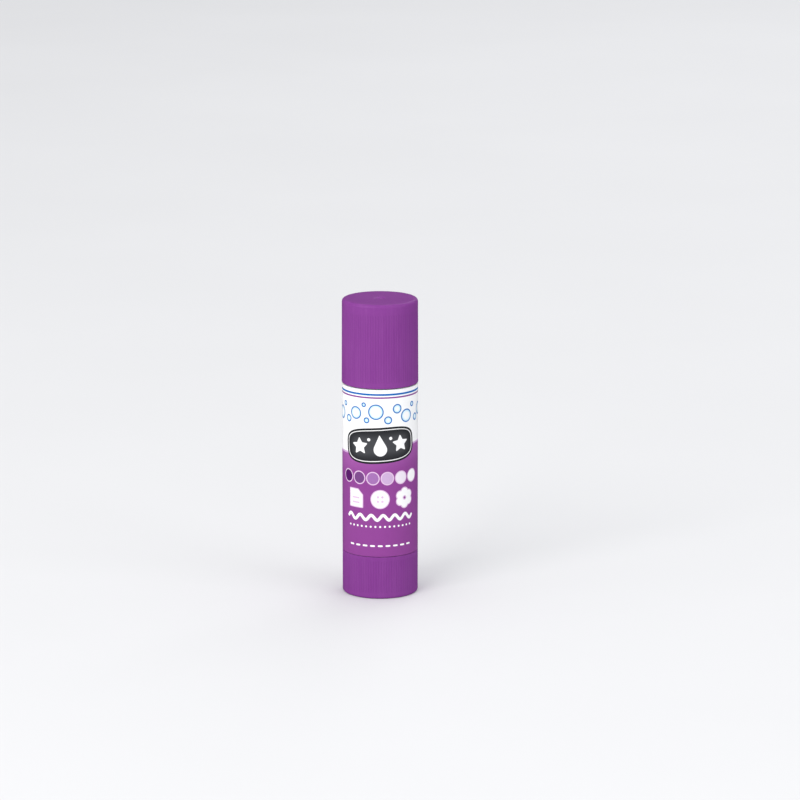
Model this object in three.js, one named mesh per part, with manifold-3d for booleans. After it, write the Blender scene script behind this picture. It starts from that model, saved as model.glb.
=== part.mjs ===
// A twist-up glue stick: a pull-off cap over a moulded barrel, and a knob that turns a screw, so that a
// carrier inside the barrel climbs and pushes the stick of glue out of the mouth.
// Millimetres, +Z up. The origin is the middle of the face the stick stands on, under the knob.

import * as THREE from "three";
import { mergeVertices } from "three/addons/utils/BufferGeometryUtils.js";
import Module from "manifold-3d";

const wasm = await Module();
wasm.setup();

// Barrel: bore, neck under the cap, labelled body, and the spigot that sits inside the knob
const boreRadius = 10.25;
const neckWall = 1.05;
const neckLength = 22;
const neckMouthBevel = 0.4;
const bodyLength = 56.8;
const spigotWall = 0.9;
const spigotLength = 5;
const barrelFloor = 1.5;
const guideRibCount = 4;
const guideRibWidth = 1.4;
const guideRibHeight = 0.6;

// Snap rings: one round the neck, one inside the mouth of the cap, each this far proud
const snapHeight = 0.2;
const snapWidth = 1.4;
const neckSnapRise = 4;
const capSnapRise = 1.6;

// Cap
const capWall = 0.85;
const capCrown = 1.3;
const capHeadroom = 5.2;
const capCrownRound = 1.8;
const capDraft = 0.12;
const capMouthBevel = 0.3;
const sealRingWall = 0.75;
const capRibCount = 12;
const capRibWidth = 0.7;
const capRibAboveSnap = 2.6;

// Label film round the body; label and knob lie this far inside the rim of the cap
const labelFilm = 0.15;
const labelMargin = 0.1;
const rimStep = 0.12;

// Knob
const knobHeight = 14.4;
const knobFloor = 1.5;
const knobEdgeRound = 0.8;
const footRecess = 0.6;
const footWidth = 2.2;
const hubWall = 1.7;
const knobWebCount = 6;
const knobWebWidth = 1;
const knobWebHeight = 3;

// Fine upright flutes for grip on the cap and the knob, and the plain bands that end them
const fluteCount = 90;
const fluteDepth = 0.12;
const capPlainTop = 1.4;
const capPlainFoot = 1.4;
const knobPlainTop = 1;
const knobPlainFoot = 0.8;

// Screw: hexagonal drive stub, journal through the barrel's floor, thrust flange and left-hand thread
const stubCorner = 2.5;
const journalStep = 0.4;
const flangeRadius = 5.2;
const flangeThickness = 1.2;
const threadCore = 2.35;
const threadDepth = 1;
const threadLead = 6;
const threadRootWidth = 2.2;
const threadCrestWidth = 1.2;
const screwTipBelowMouth = 5.5;
const screwTipCone = 1;

// Carrier that holds the foot of the glue
const carrierHeight = 11;
const carrierWall = 0.9;
const carrierFloor = 1.4;
const nutHeight = 9.4;
const nutWall = 1.35;
const nutEndLand = 0.2;
const bladeCount = 4;
const bladeWidth = 0.9;
const bladeHeight = 5;

// Glue
const glueBelowMouth = 1;
const glueTopRound = 0.8;

// Clearances
const runGap = 0.3; // between faces that turn or rest on each other
const slideFit = 0.25; // round what slides in the bore, and round the guide ribs
const capFit = 0.2; // round the neck inside the cap, and between the two snap rings
const socketFit = 0.15; // round the drive stub in the hub
const threadFit = 0.35; // between the screw's thread and the nut's
const filmFit = 0.05; // under the label
const castFit = 0.3; // between the glue and what it is cast against

// Facets, and how far an added rib reaches into the wall it grows from
const roundSteps = 48;
const screwSteps = 16;
const hexSides = 6;
const roundingSteps = 3;
const sink = 0.3;

// Radii, from the bore outwards
const slideRadius = boreRadius - slideFit;
const neckRadius = boreRadius + neckWall;
const neckSnapRadius = neckRadius + snapHeight;
const capSnapRadius = neckSnapRadius + capFit;
const capBore = capSnapRadius + snapHeight;
const capRadius = capBore + capWall;
const capTopRadius = capRadius - capDraft;
const labelRadius = capRadius - rimStep;
const labelBore = labelRadius - labelFilm;
const bodyRadius = labelBore - filmFit;
const spigotRadius = boreRadius + spigotWall;
const knobRadius = labelRadius;
const knobBore = spigotRadius + runGap;

// Radii, from the screw outwards
const journalRadius = stubCorner + journalStep;
const journalHole = journalRadius + runGap;
const hubRadius = stubCorner + socketFit + hubWall;
const threadCrest = threadCore + threadDepth;
const nutBore = threadCrest + threadFit;
const nutRadius = nutBore + nutWall;
const cupRadius = slideRadius - carrierWall;

// Heights of the knob, the barrel and the screw
const knobDeck = footRecess + knobFloor;
const barrelFoot = knobHeight + runGap;
const spigotFoot = barrelFoot - spigotLength;
const floorTop = spigotFoot + barrelFloor;
const shoulder = barrelFoot + bodyLength;
const mouth = shoulder + neckLength;
const hubTop = spigotFoot - runGap;
const stubFoot = knobDeck + runGap;
const flangeFoot = floorTop + runGap;
const flangeTop = flangeFoot + flangeThickness;
const screwTip = mouth - screwTipBelowMouth;
const threadFoot = flangeTop + threadRootWidth / 2;

// Heights of the carrier, the glue and the cap
const carrierFoot = flangeTop + runGap;
const carrierDeck = carrierFoot + carrierFloor;
const carrierRim = carrierFoot + carrierHeight;
const nutTop = carrierFoot + nutHeight;
const glueFoot = carrierDeck + castFit;
const glueTop = mouth - glueBelowMouth;
const capMouth = shoulder + runGap;
const capCeiling = mouth + capHeadroom;
const capTop = capCeiling + capCrown;
const crownRound = Math.min(capCrownRound, capWall + capCrown);
const capFluteFoot = capMouth + capPlainFoot;
const capFluteTop = capTop - crownRound - capPlainTop;
const knobFluteFoot = knobEdgeRound + knobPlainFoot;
const knobFluteTop = knobHeight - knobPlainTop;

// A geometry as a manifold-3d solid
function solid(geometry) {
  const bare = geometry.clone();
  for (const name of Object.keys(bare.attributes)) {
    if (name !== "position") bare.deleteAttribute(name);
  }
  const merged = mergeVertices(bare, 1e-4);
  return new wasm.Manifold(
    new wasm.Mesh({
      numProp: 3,
      vertProperties: merged.attributes.position.array,
      triVerts: new Uint32Array(merged.index.array),
    }),
  );
}

// A manifold-3d solid as a geometry
function geometryOf(made) {
  const mesh = made.getMesh();
  const geometry = new THREE.BufferGeometry();
  geometry.setAttribute("position", new THREE.BufferAttribute(new Float32Array(mesh.vertProperties), 3));
  geometry.setIndex(new THREE.BufferAttribute(new Uint32Array(mesh.triVerts), 1));
  const flat = geometry.toNonIndexed();
  flat.computeVertexNormals();
  return flat;
}

// A solid of revolution about Z. The outline is a list of [radius, height], anticlockwise: it starts and
// ends on the axis, or it is closed here.
function turned(outline, steps = roundSteps) {
  const onAxis = outline[0][0] === 0;
  const loop = onAxis ? outline : [...outline, outline[0]];
  const points = loop.map(([radius, height]) => new THREE.Vector2(radius, height));
  return solid(new THREE.LatheGeometry(points, steps).rotateX(Math.PI / 2));
}

// Points of a quarter round of an outline about its centre, from one angle to another in degrees
function rounding(centreRadius, centreHeight, radius, from, to) {
  return Array.from({ length: roundingSteps + 1 }, (_, i) => {
    const angle = THREE.MathUtils.degToRad(from + ((to - from) * i) / roundingSteps);
    return [centreRadius + radius * Math.cos(angle), centreHeight + radius * Math.sin(angle)];
  });
}

// A hexagonal bar on the axis, between two heights
function hexBar(corner, foot, top) {
  return turned([[0, foot], [corner, foot], [corner, top], [0, top]], hexSides);
}

// Upright radial blocks, evenly spaced: each runs from one radius to another and between two heights
function radialBlocks(count, inner, outer, width, foot, top, turn = 0) {
  let all = null;
  for (let i = 0; i < count; i++) {
    const block = new THREE.BoxGeometry(outer - inner, width, top - foot);
    block.translate((inner + outer) / 2, 0, (foot + top) / 2);
    block.rotateZ(turn + (i * 2 * Math.PI) / count);
    all = all ? all.add(solid(block)) : solid(block);
  }
  return all;
}

// A ring with upright flutes round its outside, drawn in by the draft from foot to top
function flutedRing(crest, inner, foot, top, draft) {
  const outline = new THREE.Shape();
  for (let i = 0; i < 2 * fluteCount; i++) {
    const angle = (i * Math.PI) / fluteCount;
    const radius = i % 2 ? crest - fluteDepth : crest;
    const [x, y] = [radius * Math.cos(angle), radius * Math.sin(angle)];
    if (i) outline.lineTo(x, y);
    else outline.moveTo(x, y);
  }
  outline.closePath();
  outline.holes.push(new THREE.Path().absarc(0, 0, inner, 0, 2 * Math.PI, true));
  const ring = new THREE.ExtrudeGeometry(outline, {
    depth: top - foot,
    bevelEnabled: false,
    curveSegments: roundSteps,
  });
  const position = ring.attributes.position;
  for (let i = 0; i < position.count; i++) {
    const narrowing = 1 - (draft * position.getZ(i)) / (top - foot) / crest;
    position.setXY(i, position.getX(i) * narrowing, position.getY(i) * narrowing);
  }
  return solid(ring.translate(0, 0, foot));
}

// A left-hand helical ridge. Its section is a list of [radius, height above the middle], anticlockwise,
// and its middle starts at a height, after so many turns of the screw from the thread's own start.
function helicalRidge(section, startHeight, startTurn, turns) {
  const steps = Math.max(2, Math.round(turns * screwSteps));
  const corners = section.length;
  const positions = [];
  const faces = [];
  for (let i = 0; i <= steps; i++) {
    const turn = (turns * i) / steps;
    const angle = -2 * Math.PI * (startTurn + turn);
    for (const [radius, rise] of section) {
      const height = startHeight + threadLead * turn + rise;
      positions.push(radius * Math.cos(angle), radius * Math.sin(angle), height);
    }
  }
  for (let i = 0; i < steps; i++) {
    for (let j = 0; j < corners; j++) {
      const a = i * corners + j;
      const b = i * corners + ((j + 1) % corners);
      faces.push(a, b, a + corners, b, b + corners, a + corners);
    }
  }
  const last = steps * corners;
  for (let j = 1; j < corners - 1; j++) {
    faces.push(0, j + 1, j, last, last + j, last + j + 1);
  }
  const ridge = new THREE.BufferGeometry();
  ridge.setAttribute("position", new THREE.Float32BufferAttribute(positions, 3));
  ridge.setIndex(faces);
  return solid(ridge);
}

// Half of the screw thread's axial width at a radius
function threadHalfWidth(radius) {
  const share = (radius - threadCore) / threadDepth;
  return (threadRootWidth + share * (threadCrestWidth - threadRootWidth)) / 2;
}

// Half of the nut thread's axial width at a radius: what the screw's thread leaves, less the clearance
function nutHalfWidth(radius) {
  return threadLead / 2 - threadHalfWidth(radius) - threadFit;
}

// Outline of a snap ring that stands proud of a wall, upwards (1) or downwards (-1)
function snapRing(wall, crest, middle, direction) {
  return [
    [wall, middle - (direction * snapWidth) / 2],
    [crest, middle - (direction * snapWidth) / 6],
    [crest, middle + (direction * snapWidth) / 6],
    [wall, middle + (direction * snapWidth) / 2],
  ];
}

// Cap: a thin cup with a rounded crown, a ring over the neck's mouth, a snap ring and inner ribs
function makeCap() {
  const sealMiddle = boreRadius + neckWall / 2;
  const sealInner = sealMiddle - sealRingWall / 2;
  const sealOuter = sealMiddle + sealRingWall / 2;
  const shell = turned([
    [0, capCeiling],
    [sealInner, capCeiling],
    [sealInner, mouth + runGap],
    [sealOuter, mouth + runGap],
    [sealOuter, capCeiling],
    [capBore, capCeiling],
    ...snapRing(capBore, capSnapRadius, capMouth + capSnapRise, -1),
    [capBore, capMouth + capMouthBevel],
    [capBore + capMouthBevel, capMouth],
    [capRadius - fluteDepth, capMouth],
    [capRadius, capMouth + fluteDepth],
    [capRadius, capFluteFoot],
    [capRadius - fluteDepth, capFluteFoot],
    [capTopRadius - fluteDepth, capFluteTop],
    [capTopRadius, capFluteTop],
    ...rounding(capTopRadius - crownRound, capTop - crownRound, crownRound, 0, 90),
    [0, capTop],
  ]);
  const flutes = flutedRing(capRadius, capRadius - capWall / 2, capFluteFoot, capFluteTop, capDraft);
  const ribs = radialBlocks(
    capRibCount,
    neckRadius + capFit,
    capBore + sink,
    capRibWidth,
    shoulder + neckSnapRise + snapWidth / 2 + capRibAboveSnap,
    capCeiling + sink,
  );
  return shell.add(flutes).add(ribs);
}

// Barrel: labelled body, slimmer neck with its snap ring, spigot with a floor, and guide ribs in the bore
function makeBarrel() {
  const tube = turned([
    [journalHole, spigotFoot],
    [spigotRadius, spigotFoot],
    [spigotRadius, barrelFoot],
    [bodyRadius, barrelFoot],
    [bodyRadius, shoulder],
    [neckRadius, shoulder],
    ...snapRing(neckRadius, neckSnapRadius, shoulder + neckSnapRise, 1),
    [neckRadius, mouth - neckMouthBevel],
    [neckRadius - neckMouthBevel, mouth],
    [boreRadius, mouth],
    [boreRadius, floorTop],
    [journalHole, floorTop],
  ]);
  const guides = radialBlocks(
    guideRibCount,
    boreRadius - guideRibHeight,
    boreRadius + sink,
    guideRibWidth,
    floorTop - sink,
    mouth - neckMouthBevel,
  );
  return tube.add(guides);
}

// Label: one turn of printed film
function makeLabel() {
  const foot = barrelFoot + labelMargin;
  const top = shoulder - labelMargin;
  return turned([[labelBore, foot], [labelRadius, foot], [labelRadius, top], [labelBore, top]]);
}

// Knob: a fluted cup with a foot ring, a hub that grips the screw, and webs between the two
function makeKnob() {
  const footInner = knobRadius - footWidth;
  const cup = turned([
    [0, footRecess],
    [footInner, footRecess],
    [footInner, 0],
    ...rounding(knobRadius - knobEdgeRound, knobEdgeRound, knobEdgeRound, -90, 0),
    [knobRadius, knobFluteFoot],
    [knobRadius - fluteDepth, knobFluteFoot],
    [knobRadius - fluteDepth, knobFluteTop],
    [knobRadius, knobFluteTop],
    [knobRadius, knobHeight - fluteDepth],
    [knobRadius - fluteDepth, knobHeight],
    [knobBore, knobHeight],
    [knobBore, knobDeck],
    [hubRadius, knobDeck],
    [hubRadius, hubTop],
    [0, hubTop],
  ]);
  const flutes = flutedRing(knobRadius, (knobRadius + knobBore) / 2, knobFluteFoot, knobFluteTop, 0);
  const webs = radialBlocks(
    knobWebCount,
    hubRadius - sink,
    knobBore + sink,
    knobWebWidth,
    knobDeck - sink,
    knobDeck + knobWebHeight,
  );
  const socket = hexBar(stubCorner + socketFit, knobDeck, hubTop + sink);
  return cup.add(flutes).add(webs).subtract(socket);
}

// Screw: drive stub, journal, thrust flange, threaded rod and its coned tip
function makeScrew() {
  const threadTop = screwTip - screwTipCone - threadRootWidth / 2;
  const inner = threadCore - sink;
  const stub = hexBar(stubCorner, stubFoot, spigotFoot + sink);
  const rod = turned(
    [
      [0, spigotFoot],
      [journalRadius, spigotFoot],
      [journalRadius, flangeFoot],
      [flangeRadius, flangeFoot],
      [flangeRadius, flangeTop],
      [threadCore, flangeTop],
      [threadCore, screwTip - screwTipCone],
      [threadCore - screwTipCone, screwTip],
      [0, screwTip],
    ],
    screwSteps,
  );
  const thread = helicalRidge(
    [
      [inner, -threadHalfWidth(inner)],
      [threadCrest, -threadCrestWidth / 2],
      [threadCrest, threadCrestWidth / 2],
      [inner, threadHalfWidth(inner)],
    ],
    threadFoot,
    0,
    (threadTop - threadFoot) / threadLead,
  );
  return rod.add(stub).add(thread);
}

// The nut's thread lies half a lead from the screw's, and ends just inside the nut
function makeNutThread() {
  const tip = threadCore + threadFit;
  const root = nutBore + sink;
  const span = nutHeight - 2 * (nutHalfWidth(root) + nutEndLand);
  const startHeight = carrierFoot + (nutHeight - span) / 2;
  return helicalRidge(
    [
      [tip, -nutHalfWidth(tip)],
      [root, -nutHalfWidth(root)],
      [root, nutHalfWidth(root)],
      [tip, nutHalfWidth(tip)],
    ],
    startHeight,
    (startHeight - threadFoot) / threadLead - 1 / 2,
    span / threadLead,
  );
}

// Carrier: a shallow cup that keys on the guide ribs, with a threaded nut and blades that hold the glue
function makeCarrier() {
  const cup = turned([
    [nutBore, carrierFoot],
    [slideRadius, carrierFoot],
    [slideRadius, carrierRim],
    [cupRadius, carrierRim],
    [cupRadius, carrierDeck],
    [nutRadius, carrierDeck],
    [nutRadius, nutTop],
    [nutBore, nutTop],
  ]);
  const blades = radialBlocks(
    bladeCount,
    nutRadius - sink,
    cupRadius + sink,
    bladeWidth,
    carrierDeck - sink,
    carrierDeck + bladeHeight,
    Math.PI / bladeCount,
  );
  const keyways = makeKeyways(carrierFoot - sink, carrierRim + sink);
  return cup.add(blades).subtract(keyways).add(makeNutThread());
}

// What the guide ribs sweep, with their clearance, between two heights
function makeKeyways(foot, top) {
  return radialBlocks(
    guideRibCount,
    boreRadius - guideRibHeight - slideFit,
    boreRadius,
    guideRibWidth + 2 * slideFit,
    foot,
    top,
  );
}

// Glue: cast in the barrel round the screw, with its foot in the carrier
function makeGlue() {
  const screwBore = threadCrest + castFit;
  const nutRoom = nutRadius + castFit;
  const body = turned([
    [0, screwTip + castFit],
    [screwBore, screwTip + castFit],
    [screwBore, nutTop + castFit],
    [nutRoom, nutTop + castFit],
    [nutRoom, glueFoot],
    [cupRadius - castFit, glueFoot],
    [cupRadius - castFit, carrierRim + castFit],
    [slideRadius, carrierRim + castFit],
    ...rounding(slideRadius - glueTopRound, glueTop - glueTopRound, glueTopRound, 0, 90),
    [0, glueTop],
  ]);
  const slots = radialBlocks(
    bladeCount,
    nutRadius,
    cupRadius,
    bladeWidth + 2 * castFit,
    glueFoot - sink,
    carrierDeck + bladeHeight + castFit,
    Math.PI / bladeCount,
  );
  return body.subtract(makeKeyways(carrierRim, glueTop + sink)).subtract(slots);
}

const purplePlastic = { color: 0x8a479a, roughness: 0.42, metalness: 0 };
const whitePlastic = { color: 0xf1f0ee, roughness: 0.4, metalness: 0 };
const printedFilm = { color: 0xb27bbd, roughness: 0.3, metalness: 0 };
const purpleGlue = { color: 0x7d4aa6, roughness: 0.5, metalness: 0 };

const glueStick = new THREE.Group();

// One named mesh of the assembly
function addPiece(name, made, look) {
  const mesh = new THREE.Mesh(geometryOf(made), new THREE.MeshStandardMaterial(look));
  mesh.name = name;
  glueStick.add(mesh);
}

addPiece("cap", makeCap(), purplePlastic);
addPiece("barrel", makeBarrel(), whitePlastic);
addPiece("label_wrap", makeLabel(), printedFilm);
addPiece("base_knob", makeKnob(), purplePlastic);
addPiece("lead_screw", makeScrew(), whitePlastic);
addPiece("carrier_cup", makeCarrier(), whitePlastic);
addPiece("glue_core", makeGlue(), purpleGlue);

export default glueStick;
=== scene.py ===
"""Looks of a twist-up glue stick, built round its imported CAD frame.

Each piece is a closed surface worked out with numpy. Most are profiles turned about the stick's own
axis, whose radius and height then change with the angle for flutes, ribs, keyways and threads.
Sizes are in millimetres inside the classes, and in metres in the meshes. The reach of a piece comes
from its CAD node in the frame.
"""

import logging
import math
from dataclasses import dataclass, field
from enum import Enum
from functools import cache
from typing import Callable, NamedTuple, Sequence

import bpy
import numpy as np
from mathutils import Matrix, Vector


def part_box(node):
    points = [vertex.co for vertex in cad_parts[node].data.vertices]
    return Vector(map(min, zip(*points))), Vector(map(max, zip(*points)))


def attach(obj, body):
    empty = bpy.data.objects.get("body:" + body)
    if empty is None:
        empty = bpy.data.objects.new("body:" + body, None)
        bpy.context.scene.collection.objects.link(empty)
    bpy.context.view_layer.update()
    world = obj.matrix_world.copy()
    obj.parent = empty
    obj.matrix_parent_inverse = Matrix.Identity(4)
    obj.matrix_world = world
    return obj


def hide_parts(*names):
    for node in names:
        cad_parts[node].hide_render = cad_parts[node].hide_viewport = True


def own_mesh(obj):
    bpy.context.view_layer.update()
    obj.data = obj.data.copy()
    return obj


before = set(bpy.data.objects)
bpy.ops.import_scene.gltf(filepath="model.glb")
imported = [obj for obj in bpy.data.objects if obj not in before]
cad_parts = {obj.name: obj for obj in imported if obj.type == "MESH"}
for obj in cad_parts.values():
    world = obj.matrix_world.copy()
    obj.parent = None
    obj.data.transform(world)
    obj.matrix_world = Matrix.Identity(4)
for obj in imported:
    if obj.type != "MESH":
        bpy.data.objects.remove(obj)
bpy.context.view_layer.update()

MM = 0.001
LOG = logging.getLogger("glue_stick")

Array = np.ndarray
Socket = bpy.types.NodeSocket
Point = tuple[float, float]
Corner = tuple[float, float, float]
Place = tuple[float, float, float]
Colour = tuple[float, float, float]
Value = Socket | Colour | float
Values = dict[str | int, Value]

# Rounded corners: the chords of an arc, the guard points' lead, and how much of a side each may take.
ARC_STEPS = 5
ARC_SHARE = 0.46
GUARD_LEAD = 0.06
GUARD_SHARE = 0.49

# Angles in radians that are closer than this count as one column.
SAME_ANGLE = 1e-4

# The numbers of the Mix node's colour sockets, whose names it uses for other kinds too.
MIX_SHARE, MIX_BELOW, MIX_ABOVE, MIX_RESULT = 0, 6, 7, 2

# Half of a band of ink that is wide enough to fill any shape on the wrap.
FILL = 40.0


class Body(Enum):
    """The CAD bodies that pieces ride on."""

    BARREL = "barrel"
    KNOB = "knob"
    CARRIER = "carrier"
    CAP = "cap"


class Slot(Enum):
    """Names of the material slots."""

    PURPLE = "purple_plastic"
    WHITE = "white_plastic"
    SCREW = "screw_plastic"
    FILM = "printed_film"
    GLUE = "purple_glue"


class Ends(Enum):
    """How a profile ends: on the axis at both ends, or joined to itself."""

    ON_AXIS = "on_axis"
    JOINED = "joined"


class Kind(Enum):
    """The kinds of socket that the node groups have."""

    NUMBER = "NodeSocketFloat"
    PLACE = "NodeSocketVector"
    COLOUR = "NodeSocketColor"


class Reach(NamedTuple):
    """How far a CAD node reaches, in millimetres: out from the axis, and from its foot to its top."""

    radius: float
    foot: float
    top: float


class Polar(NamedTuple):
    """Points round the stick's axis: radii and heights in millimetres, and angles in radians."""

    radius: Array
    height: Array
    angle: Array


Bend = Callable[[Polar], tuple[Array, Array]]


def reach_of(node: str) -> Reach:
    """How far a CAD node reaches, from its box in the frame.

    Args:
        node: the node's name.

    Returns:
        Its radius, foot and top, to a thousandth of a millimetre.
    """
    low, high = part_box(node)
    return Reach(*(round(size / MM, 3) for size in (high.x, low.z, high.z)))


def linear(red: int, green: int, blue: int) -> Colour:
    """A screen colour as linear light, by the curve of the sRGB standard.

    Args:
        red, green, blue: the screen colour, 0 to 255.

    Returns:
        The linear colour, each channel 0 to 1.
    """
    levels = [channel / 255 for channel in (red, green, blue)]
    return tuple(c / 12.92 if c <= 0.04045 else ((c + 0.055) / 1.055) ** 2.4 for c in levels)


def smooth(low: float, high: float, value: Array) -> Array:
    """A soft step from 0 at low to 1 at high: 3t^2 - 2t^3, with t the share of the way.

    Args:
        low, high: where the step starts and ends; low may be the larger.
        value: what is stepped.

    Returns:
        The step, 0 to 1.
    """
    t = np.clip((value - low) / (high - low), 0.0, 1.0)
    return t * t * (3 - 2 * t)


def lies_on(values: Array, level: float, slack: float = 0.05) -> Array:
    """Whether radii or heights lie within a little slack of a wall or face."""
    return np.abs(values - level) < slack


def rounded_corner(here: Array, back: Array, ahead: Array, rounding: float) -> Array:
    """An arc that touches both sides of a corner, with a guard point on each side.

    The arc's centre lies on the corner's bisector, at rounding / sin(half the corner's angle). The
    guard points, one lead before and after the arc, keep the flats flat under smooth shading.

    Args:
        here: the corner's radius and height.
        back, ahead: the ways from it to the corners before and after it.
        rounding: the arc's radius, which is less where a side is short.

    Returns:
        The radius and height of each point.
    """
    back_length, ahead_length = np.linalg.norm(back), np.linalg.norm(ahead)
    back, ahead = back / back_length, ahead / ahead_length
    half = math.acos(float(np.clip(back @ ahead, -1, 1))) / 2
    reach = min(rounding / math.tan(half), ARC_SHARE * min(back_length, ahead_length))
    radius = reach * math.tan(half)
    centre = here + (back + ahead) / np.linalg.norm(back + ahead) * radius / math.sin(half)
    start, end = here + back * reach - centre, here + ahead * reach - centre
    turn = math.pi - 2 * half
    share = np.linspace(0, 1, ARC_STEPS + 1)[:, None]
    arc = centre + (np.sin((1 - share) * turn) * start + np.sin(share * turn) * end) / math.sin(turn)
    before = here + back * min(reach + GUARD_LEAD, GUARD_SHARE * back_length)
    after = here + ahead * min(reach + GUARD_LEAD, GUARD_SHARE * ahead_length)
    return np.vstack([before, arc, after])


def rounded_profile(corners: Sequence[Corner]) -> Array:
    """A profile with its corners rounded.

    Args:
        corners: radius, height and rounding of each corner, clockwise with the axis on the left: down
            the outside and up the inside. A corner on the axis has no rounding.

    Returns:
        The radius and height of each point.
    """
    points = np.array([corner[:2] for corner in corners], float)
    line = []
    for i, here in enumerate(points):
        rounding = corners[i][2]
        back, ahead = points[i - 1] - here, points[(i + 1) % len(points)] - here
        line.append(rounded_corner(here, back, ahead, rounding) if rounding else here[None])
    return np.vstack(line)


def sloped(start: Point, end: Point, heights: Sequence[float]) -> list[Corner]:
    """Unrounded points on the straight wall between two points.

    Args:
        start, end: radius and height of the wall's ends.
        heights: where the points lie, in the order of the profile.

    Returns:
        The points as corners.
    """
    (r0, z0), (r1, z1) = start, end
    return [(r0 + (r1 - r0) * (z - z0) / (z1 - z0), z, 0.0) for z in heights]


def upright(radius: float, heights: Sequence[float]) -> list[Corner]:
    """Unrounded points at given heights on an upright wall."""
    return [(radius, float(height), 0.0) for height in heights]


def on_level(radii: Sequence[float], height: float) -> list[Corner]:
    """Unrounded points at given radii on a level face."""
    return [(float(radius), height, 0.0) for radius in radii]


def snap_ring(wall: float, crest: float, middle: float, width: float, rounding: float) -> list[Corner]:
    """The section of a snap ring: a ramp, a crest a third as wide as the ring, and a ramp back.

    Args:
        wall, crest: the radii of the wall and of the ring's crest.
        middle, width: the ring's height and width.
        rounding: the radius of its corners.

    Returns:
        Its four corners, from the lowest up.
    """
    half, sixth = width / 2, width / 6
    section = ((wall, -half), (crest, -sixth), (crest, sixth), (wall, half))
    return [(radius, middle + rise, rounding) for radius, rise in section]


def even_angles(count: int, extra: Sequence[float] = ()) -> Array:
    """Angles in radians round a full turn, from -180 degrees.

    Args:
        count: how many lie evenly spaced.
        extra: further angles, put in between.

    Returns:
        All of them in order, without near doubles.
    """
    base = -math.pi + 2 * math.pi * np.arange(count) / count
    more = (np.asarray(extra, float) + math.pi) % (2 * math.pi) - math.pi
    merged = np.sort(np.concatenate([base, more]))
    return merged[np.concatenate([[True], np.diff(merged) > SAME_ANGLE])]


def six_sided(angle: Array) -> Array:
    """The radius of a hexagon as a share of the radius of its corners.

    It is cos 30 / cos a', where a' is the angle from the middle of the nearest side.

    Args:
        angle: the angles.

    Returns:
        The share at each, 1 at the corners.
    """
    sector = math.pi / 3
    from_side = (angle + math.pi / 2) % sector - sector / 2
    return math.cos(sector / 2) / np.cos(from_side)


def key_cut(radius: Array, inner: float, outer: float, depth: Array) -> Array:
    """Draws a wall in at keyways without folding it.

    Radii between inner and outer are scaled towards inner, by 1 - depth / (outer - inner), so that the
    outermost moves in by the depth.

    Args:
        radius: the radii.
        inner, outer: the radius that stays, and that of the wall.
        depth: how far the wall moves in, at each point.

    Returns:
        The new radii.
    """
    drawn = inner + (radius - inner) * (1 - depth / (outer - inner))
    return np.where(radius > inner, drawn, radius)


def edge_marks(profile: Array) -> Array:
    """How sharply a profile turns outwards, 0 to 1.

    It is the sine of the turn at a point, over three times the spacing of the points there.

    Args:
        profile: radius and height of each point, clockwise.

    Returns:
        The mark of each point.
    """
    away, came = np.roll(profile, -1, 0) - profile, profile - np.roll(profile, 1, 0)
    away_length, came_length = np.linalg.norm(away, axis=1), np.linalg.norm(came, axis=1)
    across = came[:, 1] * away[:, 0] - came[:, 0] * away[:, 1]
    turn = across / np.maximum(away_length * came_length, 1e-9)
    spacing = np.maximum((away_length + came_length) / 2, 0.02)
    return np.clip(turn / spacing / 3, 0, 1)


@dataclass(frozen=True)
class Ribs:
    """Evenly spaced upright ribs or keyways on a round wall, with soft flanks.

    A flank starts a little inside the edge of a rib, by the inset. The columns are how far outside the
    edge the surface has its columns. All lengths run along the wall.
    """

    wall: float
    count: int
    width: float
    flank: float
    inset: float = 0.0
    columns: tuple[float, ...] = ()
    first: float = 0.0

    def angles(self) -> Array:
        """The angles of the columns, on both sides of every rib.

        Returns:
            The angles in radians.
        """
        middles = self.first + 2 * math.pi * np.arange(self.count) / self.count
        half_widths = [self.width / 2 + column for column in self.columns]
        shifts = np.array([side * half / self.wall for half in half_widths for side in (-1, 1)])
        return (middles[:, None] + shifts[None, :]).ravel()

    def mask(self, angle: Array) -> Array:
        """1 on the ribs and 0 between them.

        The distance from the nearest rib's middle is the wall's radius times the angle to it, and the
        mask is a soft step that falls from 1 to 0 over the flank.

        Args:
            angle: the angles.

        Returns:
            The mask, 0 to 1.
        """
        pitch = 2 * math.pi / self.count
        away = np.abs((angle - self.first + pitch / 2) % pitch - pitch / 2) * self.wall
        start = self.width / 2 - self.inset
        return 1 - smooth(start, start + self.flank, away)


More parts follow.
